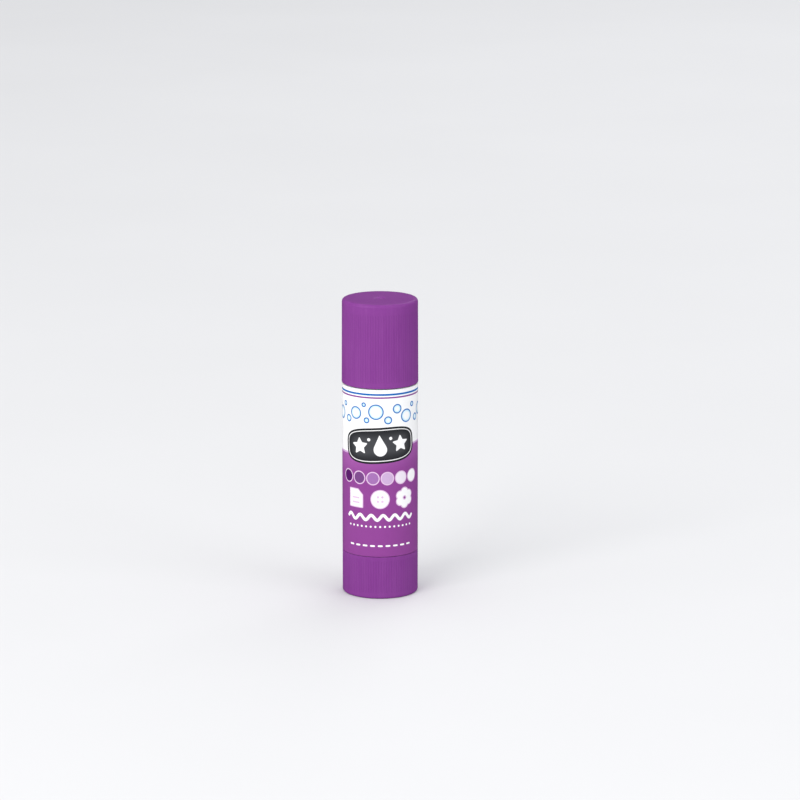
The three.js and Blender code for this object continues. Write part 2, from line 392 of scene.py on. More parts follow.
@dataclass
class Skin:
    """Points in millimetres and faces of one or more closed surfaces, with marks for the materials."""

    points: Array
    faces: list[list[int]]
    marks: dict[str, Array] = field(default_factory=dict)
    polar: Polar | None = None

    @classmethod
    def turned(cls, profile: Array, angles: Array, ends: Ends, bend: Bend | None = None) -> "Skin":
        """A profile turned about Z.

        A point is (r cos a, r sin a, z), where r and z are the profile's radius and height after the
        bend. Faces run along the profile first, so a clockwise profile gives outward faces.

        Args:
            profile: radius and height of each point, clockwise.
            angles: the angles of the columns.
            ends: on the axis at both ends, or joined to itself.
            bend: changes radius and height with the angle.

        Returns:
            The surface, with its convex edges marked as "edge".
        """
        on_axis = ends is Ends.ON_AXIS
        inner = slice(1, -1) if on_axis else slice(None)
        ring = profile[inner]
        rows, columns = len(ring), len(angles)
        at = Polar(*np.broadcast_arrays(ring[:, :1], ring[:, 1:], angles[None, :]))
        radius, height = np.broadcast_arrays(*bend(at)) if bend else at[:2]
        grid = np.stack([radius * np.cos(at.angle), radius * np.sin(at.angle), height], -1).reshape(-1, 3)
        edge = np.repeat(edge_marks(profile)[inner], columns)
        polar = [radius.ravel(), height.ravel(), at.angle.ravel()]

        index = np.arange(rows * columns).reshape(rows, columns)
        upper = index[:-1] if on_axis else index
        lower = index[1:] if on_axis else np.roll(index, -1, 0)
        quads = np.stack([upper, lower, np.roll(lower, -1, 1), np.roll(upper, -1, 1)], -1)
        faces = quads.reshape(-1, 4).tolist()
        if on_axis:
            first, last = len(grid), len(grid) + 1
            poles = [profile[0, 1], profile[-1, 1]]
            grid = np.vstack([grid, [[0, 0, height] for height in poles]])
            edge = np.append(edge, [0, 0])
            polar = [np.append(values, tail) for values, tail in zip(polar, ([0, 0], poles, [0, 0]))]
            top, bottom = index[0], index[-1]
            faces += np.stack([np.full(columns, first), top, np.roll(top, -1)], -1).tolist()
            faces += np.stack([bottom, np.full(columns, last), np.roll(bottom, -1)], -1).tolist()
        return cls(grid, faces, {"edge": edge}, Polar(*polar))

    @classmethod
    def radial_blocks(cls, count: int, first: float, inner: float, outer: float, width: float,
                      foot: float, top: float, bevel: float = 0.12) -> "Skin":
        """Upright blocks with bevelled upper edges, evenly spaced about Z.

        Each block is three stacked rectangles: the foot, the top less the bevel, and the top drawn in
        by the bevel. They are turned by first + 2 pi i / count.

        Args:
            count: the number of blocks.
            first: the first block's angle.
            inner, outer: the radii between which a block runs.
            width: its width.
            foot, top: its heights.
            bevel: how far its upper edges are drawn in.

        Returns:
            All the blocks as closed boxes.
        """
        half = width / 2
        square = np.array([[inner, -half], [outer, -half], [outer, half], [inner, half]])
        drawn_in = square + bevel * np.array([[1, 1], [-1, 1], [-1, -1], [1, -1]])
        levels = [(square, foot), (square, top - bevel), (drawn_in, top)]
        x, y, z = np.vstack([np.column_stack([corners, np.full(4, at)]) for corners, at in levels]).T
        sides = [[a, (a + 1) % 4] for a in range(4)]
        faces = [[low + a, low + b, low + b + 4, low + a + 4] for low in (0, 4) for a, b in sides]
        faces += [[3, 2, 1, 0], [8, 9, 10, 11]]
        skins = []
        for i in range(count):
            turn = first + 2 * math.pi * i / count
            cosine, sine = math.cos(turn), math.sin(turn)
            turned = np.column_stack([x * cosine - y * sine, x * sine + y * cosine, z])
            skins.append(cls(turned, faces))
        return cls.joined(skins)

    @classmethod
    def joined(cls, skins: Sequence["Skin"]) -> "Skin":
        """Several surfaces as one.

        Args:
            skins: the surfaces; a mark that one lacks is 0 there.

        Returns:
            The joined surface.
        """
        faces, start = [], 0
        for skin in skins:
            faces += [[corner + start for corner in face] for face in skin.faces]
            start += len(skin.points)
        marks = {
            name: np.concatenate([skin.marks.get(name, np.zeros(len(skin.points))) for skin in skins])
            for name in sorted({name for skin in skins for name in skin.marks})
        }
        return cls(np.vstack([skin.points for skin in skins]), faces, marks)


class Wiring:
    """Short calls that put nodes into a tree and join them."""

    def __init__(self, tree: bpy.types.NodeTree) -> None:
        """Wires into the given tree."""
        self.tree = tree

    def feed(self, node: bpy.types.Node, values: Values) -> None:
        """Fills a node's inputs.

        Args:
            node: the node.
            values: what goes into its inputs, by name or number: a socket is joined, all else is set,
                and a colour gets an alpha of 1.
        """
        for name, value in values.items():
            socket = node.inputs[name]
            if isinstance(value, Socket):
                self.tree.links.new(value, socket)
            elif socket.type == "RGBA":
                socket.default_value = (*value, 1.0)
            else:
                socket.default_value = value

    def add(self, kind: str, values: Values | None = None, **settings: object) -> bpy.types.Node:
        """Adds a node.

        Args:
            kind: the node's type.
            values: what goes into its inputs, as feed takes it.
            settings: the node's own properties.

        Returns:
            The node.
        """
        node = self.tree.nodes.new(kind)
        row, column = divmod(len(self.tree.nodes), 10)
        node.location = (190 * column, -230 * row)
        for name, setting in settings.items():
            setattr(node, name, setting)
        self.feed(node, values or {})
        return node

    def math(self, operation: str, *values: Value) -> Socket:
        """The result of a Math node."""
        return self.add("ShaderNodeMath", dict(enumerate(values)), operation=operation).outputs[0]

    def plus(self, one: Value, other: Value) -> Socket:
        """The sum of two values."""
        return self.math("ADD", one, other)

    def minus(self, one: Value, other: Value) -> Socket:
        """One value less the other."""
        return self.math("SUBTRACT", one, other)

    def times(self, one: Value, other: Value) -> Socket:
        """The product of two values."""
        return self.math("MULTIPLY", one, other)

    def noise(self, place: Socket, scale: Value, detail: float = 2.0, distortion: float = 0.0) -> Socket:
        """The value of a Noise Texture at a place."""
        values = {"Vector": place, "Scale": scale, "Detail": detail, "Distortion": distortion}
        return self.add("ShaderNodeTexNoise", values).outputs["Fac"]

    def stretched(self, place: Socket, scale: Place, turn: Place = (0.0, 0.0, 0.0)) -> Socket:
        """A place turned, with each axis scaled on its own."""
        return self.add("ShaderNodeMapping", {"Vector": place, "Rotation": turn, "Scale": scale}).outputs[0]

    def step(self, value: Socket, low: Value, high: Value, to_low: float = 0.0,
             to_high: float = 1.0) -> Socket:
        """A soft step of a value between two levels."""
        values = {"Value": value, "From Min": low, "From Max": high, "To Min": to_low, "To Max": to_high}
        return self.add("ShaderNodeMapRange", values, interpolation_type="SMOOTHSTEP").outputs[0]

    def mix(self, share: Value, below: Value, above: Value) -> Socket:
        """Two colours mixed by a share."""
        values = {MIX_SHARE: share, MIX_BELOW: below, MIX_ABOVE: above}
        return self.add("ShaderNodeMix", values, data_type="RGBA").outputs[MIX_RESULT]

    def mark(self, name: str) -> Socket:
        """A mark of the piece's own surface."""
        return self.add("ShaderNodeAttribute", attribute_name=name).outputs["Fac"]

    def place(self) -> Socket:
        """The place on the piece, in its own metres."""
        return self.add("ShaderNodeTexCoord").outputs["Object"]

    def bump(self, height: Socket, distance: float) -> Socket:
        """A normal tilted by a height; the distance in metres is what a height of 1 stands for."""
        values = {"Height": height, "Distance": distance, "Strength": 1.0}
        return self.add("ShaderNodeBump", values).outputs[0]

    def group(self, tree: bpy.types.NodeTree, values: Values) -> dict[str, Socket]:
        """The outputs of a node group put in place with its values, by name."""
        return dict(self.add("ShaderNodeGroup", values, node_tree=tree).outputs.items())


class Effects:
    """The node groups that more than one finish uses, each built once."""

    @staticmethod
    def _open(name: str, inputs: dict[str, Kind | float]) -> tuple[Wiring, dict[str, Socket]]:
        """Starts a group with its inputs.

        Args:
            name: the group's name.
            inputs: a number's starting value, or the kind of another input, by name.

        Returns:
            The wiring to fill the group with, and what it is given, by name.
        """
        tree = bpy.data.node_groups.new(name, "ShaderNodeTree")
        for label, start in inputs.items():
            kind = start if isinstance(start, Kind) else Kind.NUMBER
            socket = tree.interface.new_socket(name=label, in_out="INPUT", socket_type=kind.value)
            if kind is Kind.NUMBER:
                socket.default_value = start
        wiring = Wiring(tree)
        return wiring, dict(wiring.add("NodeGroupInput").outputs.items())

    @staticmethod
    def _close(wiring: Wiring, outputs: dict[str, Socket]) -> bpy.types.NodeTree:
        """Ends a group with its outputs.

        Args:
            wiring: the group's wiring.
            outputs: what it puts out, by name.

        Returns:
            The group.
        """
        for label, socket in outputs.items():
            kind = Kind.COLOUR if socket.type == "RGBA" else Kind.NUMBER
            wiring.tree.interface.new_socket(name=label, in_out="OUTPUT", socket_type=kind.value)
        wiring.add("NodeGroupOutput", outputs)
        return wiring.tree

    @staticmethod
    @cache
    def moulded_grain() -> bpy.types.NodeTree:
        """Grain of a moulded plastic skin.

        Height is a fine noise plus an upright flow noise, stretched along Z. Tone is the flow alone, and
        Cloud is a slow noise for slight changes of colour.

        Returns:
            The group.
        """
        inputs = {"Place": Kind.PLACE, "Grain": 3800.0, "Flow": 900.0}
        wiring, given = Effects._open("moulded_grain", inputs)
        place = given["Place"]
        fine = wiring.noise(place, given["Grain"], 3.0)
        flow = wiring.noise(wiring.stretched(place, (1.0, 1.0, 0.06)), given["Flow"])
        height = wiring.plus(wiring.times(fine, 0.6), wiring.times(flow, 0.4))
        return Effects._close(wiring, {"Height": height, "Tone": flow, "Cloud": wiring.noise(place, 70.0)})

    @staticmethod
    @cache
    def handling_marks() -> bpy.types.NodeTree:
        """Marks of handling.

        Rub is the edge mark where a patchy noise is high. Scratch is 1 along thin lines, where a long
        stretched noise crosses its middle level, inside scattered patches.

        Returns:
            The group.
        """
        inputs = {"Place": Kind.PLACE, "Edge": 0.0, "Lines": 120.0}
        wiring, given = Effects._open("handling_marks", inputs)
        place = given["Place"]
        rub = wiring.times(given["Edge"], wiring.step(wiring.noise(place, 420.0, 3.0), 0.42, 0.72))
        slanted = wiring.stretched(place, (1.0, 4.0, 0.5), turn=(0.5, 0.9, 0.3))
        from_middle = wiring.math("ABSOLUTE", wiring.minus(wiring.noise(slanted, given["Lines"], 0.0), 0.5))
        line = wiring.step(from_middle, 0.0, 0.0035, 1.0, 0.0)
        patch = wiring.step(wiring.noise(place, 95.0, 1.0), 0.56, 0.66)
        return Effects._close(wiring, {"Rub": rub, "Scratch": wiring.times(line, patch)})

    @staticmethod
    @cache
    def ink_layer() -> bpy.types.NodeTree:
        """One ink printed over what lies below it.

        The ink covers where |Distance - Middle| - Half is under 0, which is a line along a shape's edge,
        or the whole shape where the middle lies far inside it. Its edge fades over the spread on both
        sides. All are in millimetres.

        Returns:
            The group.
        """
        inputs = {
            "Below": Kind.COLOUR, "Ink": Kind.COLOUR, "Distance": 0.0, "Middle": -FILL, "Half": FILL,
            "Spread": 0.04,
        }
        wiring, given = Effects._open("ink_layer", inputs)
        spread = given["Spread"]
        from_middle = wiring.math("ABSOLUTE", wiring.minus(given["Distance"], given["Middle"]))
        away = wiring.minus(from_middle, given["Half"])
        cover = wiring.step(away, wiring.times(spread, -1.0), spread, 1.0, 0.0)
        return Effects._close(wiring, {"Colour": wiring.mix(cover, given["Below"], given["Ink"])})


def start_material(name: str) -> tuple[bpy.types.Material, Wiring, bpy.types.Node]:
    """A new material with its Principled shader joined to the output.

    Args:
        name: the material's name.

    Returns:
        The material, its wiring and the shader.
    """
    material = bpy.data.materials.new(name)
    material.use_nodes = True
    material.node_tree.nodes.clear()
    wiring = Wiring(material.node_tree)
    shader = wiring.add("ShaderNodeBsdfPrincipled")
    wiring.add("ShaderNodeOutputMaterial", {"Surface": shader.outputs[0]})
    return material, wiring, shader


@dataclass(frozen=True)
class MouldedFinish:
    """A satin moulded plastic: grain, slight clouding, painted shade in the flute grooves, handling marks.
    """

    name: str
    base: Colour
    cloud: Colour
    worn: Colour
    roughness: float
    roughness_swing: float = 0.08
    specular: float = 0.5
    grain: float = 3800.0
    grain_depth: float = 0.0000035
    painted_groove_shade: float = 0.0
    painted_groove_darkness: float = 0.55
    streaks: float = 0.14
    rub: float = 0.45
    scratch_gloss: float = 0.06
    scratch_depth: float = 0.5
    subsurface: float = 0.0
    subsurface_reach: float = 0.001

    @cache
    def material(self) -> bpy.types.Material:
        """The finish as a material, made once.

        Returns:
            The material.
        """
        material, wiring, shader = start_material(self.name)
        place = wiring.place()
        grain = wiring.group(Effects.moulded_grain(), {"Place": place, "Grain": self.grain})
        marks = wiring.group(Effects.handling_marks(), {"Place": place, "Edge": wiring.mark("edge")})
        tone, scratch = grain["Tone"], marks["Scratch"]
        colour = wiring.mix(wiring.step(grain["Cloud"], 0.3, 0.7), self.base, self.cloud)
        # Painted shade: the colour is darkened deep in the flutes' grooves, where shade falls.
        if self.painted_groove_shade:
            dark = tuple(channel * self.painted_groove_darkness for channel in self.base)
            colour = wiring.mix(wiring.times(wiring.mark("groove"), self.painted_groove_shade), colour, dark)
        colour = wiring.mix(wiring.times(wiring.step(tone, 0.35, 0.8), self.streaks), colour, self.worn)
        colour = wiring.mix(wiring.times(marks["Rub"], self.rub), colour, self.worn)
        swing = self.roughness_swing / 2
        rough = wiring.step(tone, 0.2, 0.8, self.roughness - swing, self.roughness + swing)
        height = wiring.minus(grain["Height"], wiring.times(scratch, self.scratch_depth))
        wiring.feed(shader, {
            "Base Color": colour,
            "Roughness": wiring.minus(rough, wiring.times(scratch, self.scratch_gloss)),
            "Normal": wiring.bump(height, self.grain_depth),
            "Specular IOR Level": self.specular,
            "Subsurface Weight": self.subsurface,
            "Subsurface Scale": self.subsurface_reach,
        })
        return material


@dataclass(frozen=True)
class GlueFinish:
    """Waxy violet glue: clouded, faintly streaked and pitted, and slightly see-through."""

    name: str = "waxy_glue"
    base: Colour = linear(122, 74, 164)
    pale: Colour = linear(150, 106, 186)
    deep: Colour = linear(98, 54, 142)
    smears: float = 0.5
    pale_edge: float = 0.5
    pit_depth: float = 0.35
    cloud_depth: float = 0.8
    relief: float = 0.000018
    subsurface: float = 0.35
    subsurface_reach: float = 0.0015
    subsurface_tint: Colour = (1.0, 0.5, 1.0)

    @cache
    def material(self) -> bpy.types.Material:
        """The finish as a material, made once.

        Returns:
            The material.
        """
        material, wiring, shader = start_material(self.name)
        place = wiring.place()
        cloud = wiring.noise(place, 260.0, 4.0, 0.6)
        smear = wiring.noise(wiring.stretched(place, (1.0, 0.25, 1.0)), 700.0, 3.0)
        cells = {"Vector": place, "Scale": 900.0, "Randomness": 1.0}
        pit = wiring.step(wiring.add("ShaderNodeTexVoronoi", cells).outputs["Distance"], 0.0, 0.22)
        colour = wiring.mix(wiring.step(cloud, 0.3, 0.7), self.base, self.deep)
        colour = wiring.mix(wiring.times(wiring.step(smear, 0.45, 0.75), self.smears), colour, self.pale)
        colour = wiring.mix(wiring.times(wiring.mark("edge"), self.pale_edge), colour, self.pale)
        height = wiring.plus(smear, wiring.times(pit, self.pit_depth))
        height = wiring.plus(height, wiring.times(cloud, self.cloud_depth))
        wiring.feed(shader, {
            "Base Color": colour,
            "Roughness": wiring.step(smear, 0.25, 0.8, 0.38, 0.55),
            "Normal": wiring.bump(height, self.relief),
            "Subsurface Weight": self.subsurface,
            "Subsurface Scale": self.subsurface_reach,
            "Subsurface Radius": self.subsurface_tint,
        })
        return material


@dataclass(frozen=True)
class Ink:
    """One printed ink: the mark that it follows, its colour, what it covers, and the softness of its edge.

    The ink covers a band of the mark's values, which reaches by half to each side of the middle. An
    ink that fills a shape has its middle far inside. All lengths are in millimetres. The colour of an
    ink that has none here varies over the wrap.
    """

    mark: str
    colour: Colour | None = None
    middle: float = -FILL
    half: float = FILL
    spread: float = 0.045

    def over(self, wiring: Wiring, below: Value, colour: Value) -> Socket:
        """Prints the ink.

        Args:
            wiring: the film's wiring.
            below: the colour that lies below it.
            colour: its own colour.

        Returns:
            The colour with the ink over it.
        """
        values = {
            "Below": below, "Ink": colour, "Distance": wiring.mark(self.mark),
            "Middle": self.middle, "Half": self.half, "Spread": self.spread,
        }
        return wiring.group(Effects.ink_layer(), values)["Colour"]


PAPER = (0.89, 0.89, 0.895)
PLUM = (0.22, 0.035, 0.25)
PALE = (0.7, 0.5, 0.7)
BLUE = (0.0, 0.13, 0.46)


@dataclass(frozen=True)
class FilmFinish:
    """Glossy printed film: inks laid one over another, under a slightly uneven clear skin."""

    name: str = "printed_wrap"
    field_low: Colour = (0.254, 0.053, 0.271)
    field_high: Colour = (0.325, 0.088, 0.342)
    badge_edge: Colour = (0.018, 0.019, 0.022)
    badge_middle: Colour = (0.058, 0.06, 0.066)
    spot_dark: Colour = (0.085, 0.006, 0.12)
    spot_middle: Colour = (0.42, 0.2, 0.5)
    rubbed: Colour = (0.72, 0.72, 0.74)
    rub: float = 0.5
    grain: float = 5200.0
    flow: float = 300.0
    grain_depth: float = 0.12
    scratches: float = 90.0
    scratch_depth: float = 0.06
    relief: float = 0.00003
    specular: float = 0.13
    inks: tuple[Ink, ...] = (
        Ink("field"),
        Ink("field", (0.6, 0.38, 0.64), middle=0.27, half=0.3),
        Ink("panel", PAPER),
        Ink("panel", PLUM, middle=-0.75, half=0.16),
        Ink("bubble", (0.4, 0.74, 0.9), middle=-0.5, half=0.2, spread=0.5),
        Ink("bubble", BLUE, middle=-0.18, half=0.2),
        Ink("rise", BLUE, middle=69.85, half=0.32),
        Ink("rise", (0.24, 0.04, 0.27), middle=68.8, half=0.26),
        Ink("plum", PLUM),
        Ink("icon", PALE, middle=0.36 - FILL),
        Ink("spot", PALE, middle=0.05, half=0.3),
        Ink("badge"),
        Ink("spot"),
        Ink("badge", PAPER, middle=-0.85, half=0.14),
        Ink("icon", PAPER),
        Ink("white", PAPER),
    )

    def _printed(self, wiring: Wiring) -> Socket:
        """The print: the field grows paler upwards, the badge towards its middle, and the spots in a row.

        Args:
            wiring: the film's wiring.

        Returns:
            The colour after every ink.
        """
        tone = wiring.mark("tone")
        spot = wiring.mix(wiring.step(tone, 0.0, 0.6), self.spot_dark, self.spot_middle)
        lift = wiring.step(wiring.mark("field"), -9.0, -0.4)
        middle = wiring.step(wiring.mark("badge"), -5.0, -0.4, 1.0, 0.0)
        varying = {
            "field": wiring.mix(lift, self.field_low, self.field_high),
            "badge": wiring.mix(middle, self.badge_edge, self.badge_middle),
            "spot": wiring.mix(wiring.step(tone, 0.4, 1.0), spot, PAPER),
        }
        colour = PAPER
        for ink in self.inks:
            colour = ink.over(wiring, colour, ink.colour or varying[ink.mark])
        return colour

    @cache
    def material(self) -> bpy.types.Material:
        """The finish as a material, made once.

        Returns:
            The material.
        """
        material, wiring, shader = start_material(self.name)
        place = wiring.place()
        skin = {"Place": place, "Grain": self.grain, "Flow": self.flow}
        grain = wiring.group(Effects.moulded_grain(), skin)
        wear = {"Place": place, "Edge": wiring.mark("edge"), "Lines": self.scratches}
        marks = wiring.group(Effects.handling_marks(), wear)
        colour = wiring.mix(wiring.times(marks["Rub"], self.rub), self._printed(wiring), self.rubbed)
        waves = wiring.noise(wiring.stretched(place, (1.0, 1.0, 0.35)), 110.0)
        fine = wiring.times(grain["Height"], self.grain_depth)
        scratch = wiring.times(marks["Scratch"], self.scratch_depth)
        wiring.feed(shader, {
            "Base Color": colour,
            "Roughness": wiring.step(grain["Cloud"], 0.3, 0.7, 0.36, 0.42),
            "Normal": wiring.bump(wiring.plus(waves, wiring.minus(fine, scratch)), self.relief),
            "Specular IOR Level": self.specular,
        })
        return material


# The purple plastic gets painted shade in its flutes' grooves.
PURPLE = MouldedFinish(
    "purple_satin", base=(0.209, 0.0385, 0.253), cloud=(0.219, 0.0435, 0.264), worn=(0.31, 0.09, 0.35),
    roughness=0.46, painted_groove_shade=0.22, specular=0.13,
)
MILKY = MouldedFinish(
    "milky_white", base=(0.8, 0.8, 0.79), cloud=(0.77, 0.775, 0.77), worn=(0.86, 0.86, 0.86),
    roughness=0.34, subsurface=0.25, subsurface_reach=0.002,
)
SCREW_WHITE = MouldedFinish(
    "screw_white", base=(0.76, 0.76, 0.745), cloud=(0.72, 0.725, 0.72), worn=(0.85, 0.85, 0.85),
    roughness=0.3, subsurface=0.2, subsurface_reach=0.0015,
)


def finish_piece(name: str, skin: Skin, material: bpy.types.Material, body: Body,
                 nodes: Sequence[str]) -> bpy.types.Object:
    """Makes a mesh object of a surface, dresses it and puts it on its body.

    Args:
        name: the piece's name.
        skin: its surface, in millimetres.
        material: its finish.
        body: the body that it rides on.
        nodes: the CAD nodes that it stands for.

    Returns:
        The object.
    """
    mesh = bpy.data.meshes.new(name)
    mesh.from_pydata((skin.points * MM).tolist(), [], skin.faces)
    mesh.shade_smooth()
    for mark, values in skin.marks.items():
        attribute = mesh.attributes.new(mark, "FLOAT", "POINT")
        attribute.data.foreach_set("value", np.asarray(values, np.float32))
    mesh.materials.append(material)
    piece = bpy.data.objects.new(name, mesh)
    bpy.context.scene.collection.objects.link(piece)
    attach(piece, body.value)
    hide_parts(*nodes)
    return piece


@dataclass(frozen=True)
class Flutes:
    """Fine upright grip flutes round an outer wall, between two heights."""

    low: float
    high: float
    outside: float
    count: int = 90
    depth: float = 0.085
    sharpness: float = 1.6
    fade: float = 0.8
    fade_rows: int = 7
    wall_rows: int = 4
    columns_each: int = 6

    def rows(self) -> list[float]:
        """Heights of the rows that the flutes need, close together where they fade.

        Returns:
            The heights, from the top down.
        """
        ends = np.linspace(0, self.fade, self.fade_rows)
        middle = np.linspace(self.high - self.fade, self.low + self.fade, self.wall_rows + 2)[1:-1]
        return [*(self.high - ends), *middle, *(self.low + ends[::-1])]

    def angles(self) -> Array:
        """The angles of the columns that the flutes need."""
        return even_angles(self.count * self.columns_each)

    def groove(self, at: Polar) -> Array:
        """How deep in a groove a point lies: ((1 + cos(count a)) / 2)^sharpness, faded at both ends.

        Args:
            at: the points.

        Returns:
            The share of the flutes' depth, 0 to 1.
        """
        wave = ((1 + np.cos(self.count * at.angle)) / 2) ** self.sharpness
        window = smooth(self.low, self.low + self.fade, at.height)
        window = window * smooth(self.high, self.high - self.fade, at.height)
        return wave * window * (at.radius > self.outside)


@dataclass
class Cap:
    """The pull-off cap: a thin fluted cup with a crown, a snap ring, centring ribs and a sealing ring.

    The gate mark on top is given by radius, depth under the top and rounding.
    """

    reach: Reach = reach_of("cap")
    top_radius: float = 12.63
    crown: float = 1.8
    gate: tuple[Corner, ...] = (
        (0.0, 0.2, 0.0), (0.55, 0.2, 0.12), (0.75, 0.34, 0.1), (1.5, 0.34, 0.2), (2.1, 0.1, 0.4),
        (10.3, 0.0, 2.0),
    )
    bore: float = 11.9
    ceiling: float = 98.7
    lead_in: float = 0.35
    snap_middle: float = 73.4
    snap_radius: float = 11.7
    snap_width: float = 1.4
    seal_inner: float = 10.4
    seal_outer: float = 11.15
    seal_end: float = 93.8
    rib_inner: float = 11.5
    rib_foot: float = 78.8
    rib_ramp: float = 0.8
    rib_rows: tuple[float, ...] = (82.0, 86.0, 90.0, 94.0)
    flutes: Flutes = Flutes(low=73.2, high=96.8, outside=12.4)

    @property
    def ribs(self) -> Ribs:
        """The centring ribs in the bore."""
        return Ribs(self.bore, count=12, width=0.7, inset=0.05, flank=0.12)

    def profile(self) -> Array:
        """From the gate mark on top, down the fluted wall, up the inside and to the ceiling's middle.

        Returns:
            The radius and height of each point.
        """
        edge, mouth, top = self.reach
        crown = [(radius, top - sunk, rounding) for radius, sunk, rounding in self.gate]
        ramp = np.linspace(self.rib_foot, self.rib_foot + self.rib_ramp, 6)
        return rounded_profile([
            *crown, (self.top_radius, top, self.crown),
            *sloped((self.top_radius, top - self.crown), (edge, mouth), self.flutes.rows()),
            (edge, mouth, 0.3), (self.bore + self.lead_in, mouth, 0.12),
            (self.bore, mouth + self.lead_in, 0.1),
            *snap_ring(self.bore, self.snap_radius, self.snap_middle, self.snap_width, 0.15),
            *upright(self.bore, [*ramp, *self.rib_rows]),
            (self.bore, self.ceiling, 0.3), (self.seal_outer, self.ceiling, 0.2),
            (self.seal_outer, self.seal_end, 0.22), (self.seal_inner, self.seal_end, 0.22),
            (self.seal_inner, self.ceiling, 0.3), *on_level((1.0, 0.0), self.ceiling),
        ])

    def bend(self, at: Polar) -> tuple[Array, Array]:
        """Cuts the flutes into the outside and draws the wall in at the inner ribs.

        Args:
            at: the turned profile's points.

        Returns:
            Their radii and heights after that.
        """
        inside = lies_on(at.radius, self.bore) & (at.height < self.ceiling)
        ramp = smooth(self.rib_foot, self.rib_foot + self.rib_ramp, at.height)
        rib = self.ribs.mask(at.angle) * ramp * inside
        flute = self.flutes.depth * self.flutes.groove(at)
        return at.radius - flute - (self.bore - self.rib_inner) * rib, at.height

    def build(self) -> list[bpy.types.Object]:
        """The cap as a dressed piece.

        Returns:
            The piece.
        """
        skin = Skin.turned(self.profile(), self.flutes.angles(), Ends.ON_AXIS, self.bend)
        # The groove mark is how deep in a flute a point lies; the material paints shade with it.
        skin.marks["groove"] = self.flutes.groove(skin.polar)
        return [finish_piece("cap_shell", skin, PURPLE.material(), Body.CAP, ["cap"])]


@dataclass
class Knob:
    """The turning knob: a fluted cup on a foot ring, with a hub that grips the screw and webs round it.

    The gate mark below is given by radius, depth in the recess and rounding. Four ejector pins have
    left round marks on a circle about it.
    """

    reach: Reach = reach_of("base_knob")
    bore: float = 11.45
    deck: float = 2.1
    recess: float = 0.6
    foot_width: float = 2.2
    edge_round: float = 0.8
    gate: tuple[Corner, ...] = (
        (2.6, 0.0, 0.2), (2.1, 0.3, 0.2), (0.75, 0.3, 0.12), (0.6, 0.1, 0.1), (0.0, 0.1, 0.0),
    )
    hub: float = 4.35
    hub_top: float = 9.4
    socket_corner: float = 2.65
    socket_blend: float = 0.3
    web_count: int = 6
    web_width: float = 1.0
    web_height: float = 3.0
    web_root: float = 0.15
    pin_count: int = 4
    pin_circle: float = 7.2
    pin_radius: float = 1.15
    pin_margin: float = 0.15
    pin_depth: float = 0.07
    pin_rows: int = 22
    flutes: Flutes = Flutes(low=1.6, high=13.4, outside=12.3)

    def profile(self) -> Array:
        """From the socket's floor, over hub and deck, up the inside, down the fluted wall, under the foot.

        Returns:
            The radius and height of each point.
        """
        edge, foot, top = self.reach
        foot_inner = edge - self.foot_width
        low = self.pin_circle - self.pin_radius - self.pin_margin
        high = self.pin_circle + self.pin_radius + self.pin_margin
        return rounded_profile([
            (0.0, self.deck, 0.0), (self.socket_corner, self.deck, 0.12),
            (self.socket_corner, self.hub_top, 0.2), (self.hub, self.hub_top, 0.3),
            (self.hub, self.deck, 0.3), (self.bore, self.deck, 0.3), (self.bore, top, 0.15),
            (edge, top, 0.15), *upright(edge, self.flutes.rows()),
            (edge, foot, self.edge_round), (foot_inner, foot, 0.25), (foot_inner, self.recess, 0.2),
            *on_level(np.linspace(high, low, self.pin_rows), self.recess),
            *[(radius, self.recess + depth, rounding) for radius, depth, rounding in self.gate],
        ])

    def bend(self, at: Polar) -> tuple[Array, Array]:
        """Cuts the flutes, makes the socket six-sided and sinks the ejector pins' marks.

        The hexagon fades out over the blend beyond the socket's corner. A pin's mark is sunk where the
        distance to its middle is under its radius.

        Args:
            at: the turned profile's points.

        Returns:
            Their radii and heights after that.
        """
        groove = self.flutes.groove(at)
        limit = self.socket_corner + self.socket_blend
        socket = (at.radius < limit) & (at.height > self.deck - 0.05)
        blend = smooth(limit, self.socket_corner + 0.05, at.radius)
        radius = np.where(socket, at.radius * (1 + (six_sided(at.angle) - 1) * blend), at.radius)
        pitch = 2 * math.pi / self.pin_count
        near = at.angle % pitch - pitch / 2
        away = np.hypot(radius * np.cos(near) - self.pin_circle, radius * np.sin(near))
        pin = smooth(self.pin_radius + 0.1, self.pin_radius - 0.05, away)
        pin = pin * lies_on(at.height, self.recess, 0.01)
        return radius - self.flutes.depth * groove, at.height + self.pin_depth * pin

    def build(self) -> list[bpy.types.Object]:
        """The knob as a dressed piece, its webs sunk a little into hub, wall and deck.

        Returns:
            The piece.
        """
        cup = Skin.turned(self.profile(), self.flutes.angles(), Ends.ON_AXIS, self.bend)
        # The groove mark is how deep in a flute a point lies; the material paints shade with it.
        cup.marks["groove"] = self.flutes.groove(cup.polar)
        webs = Skin.radial_blocks(
            self.web_count, first=0.0, inner=self.hub - self.web_root, outer=self.bore + self.web_root,
            width=self.web_width, foot=self.deck - self.web_root, top=self.deck + self.web_height,
        )
        skin = Skin.joined([cup, webs])
        return [finish_piece("knob_cup", skin, PURPLE.material(), Body.KNOB, ["base_knob"])]


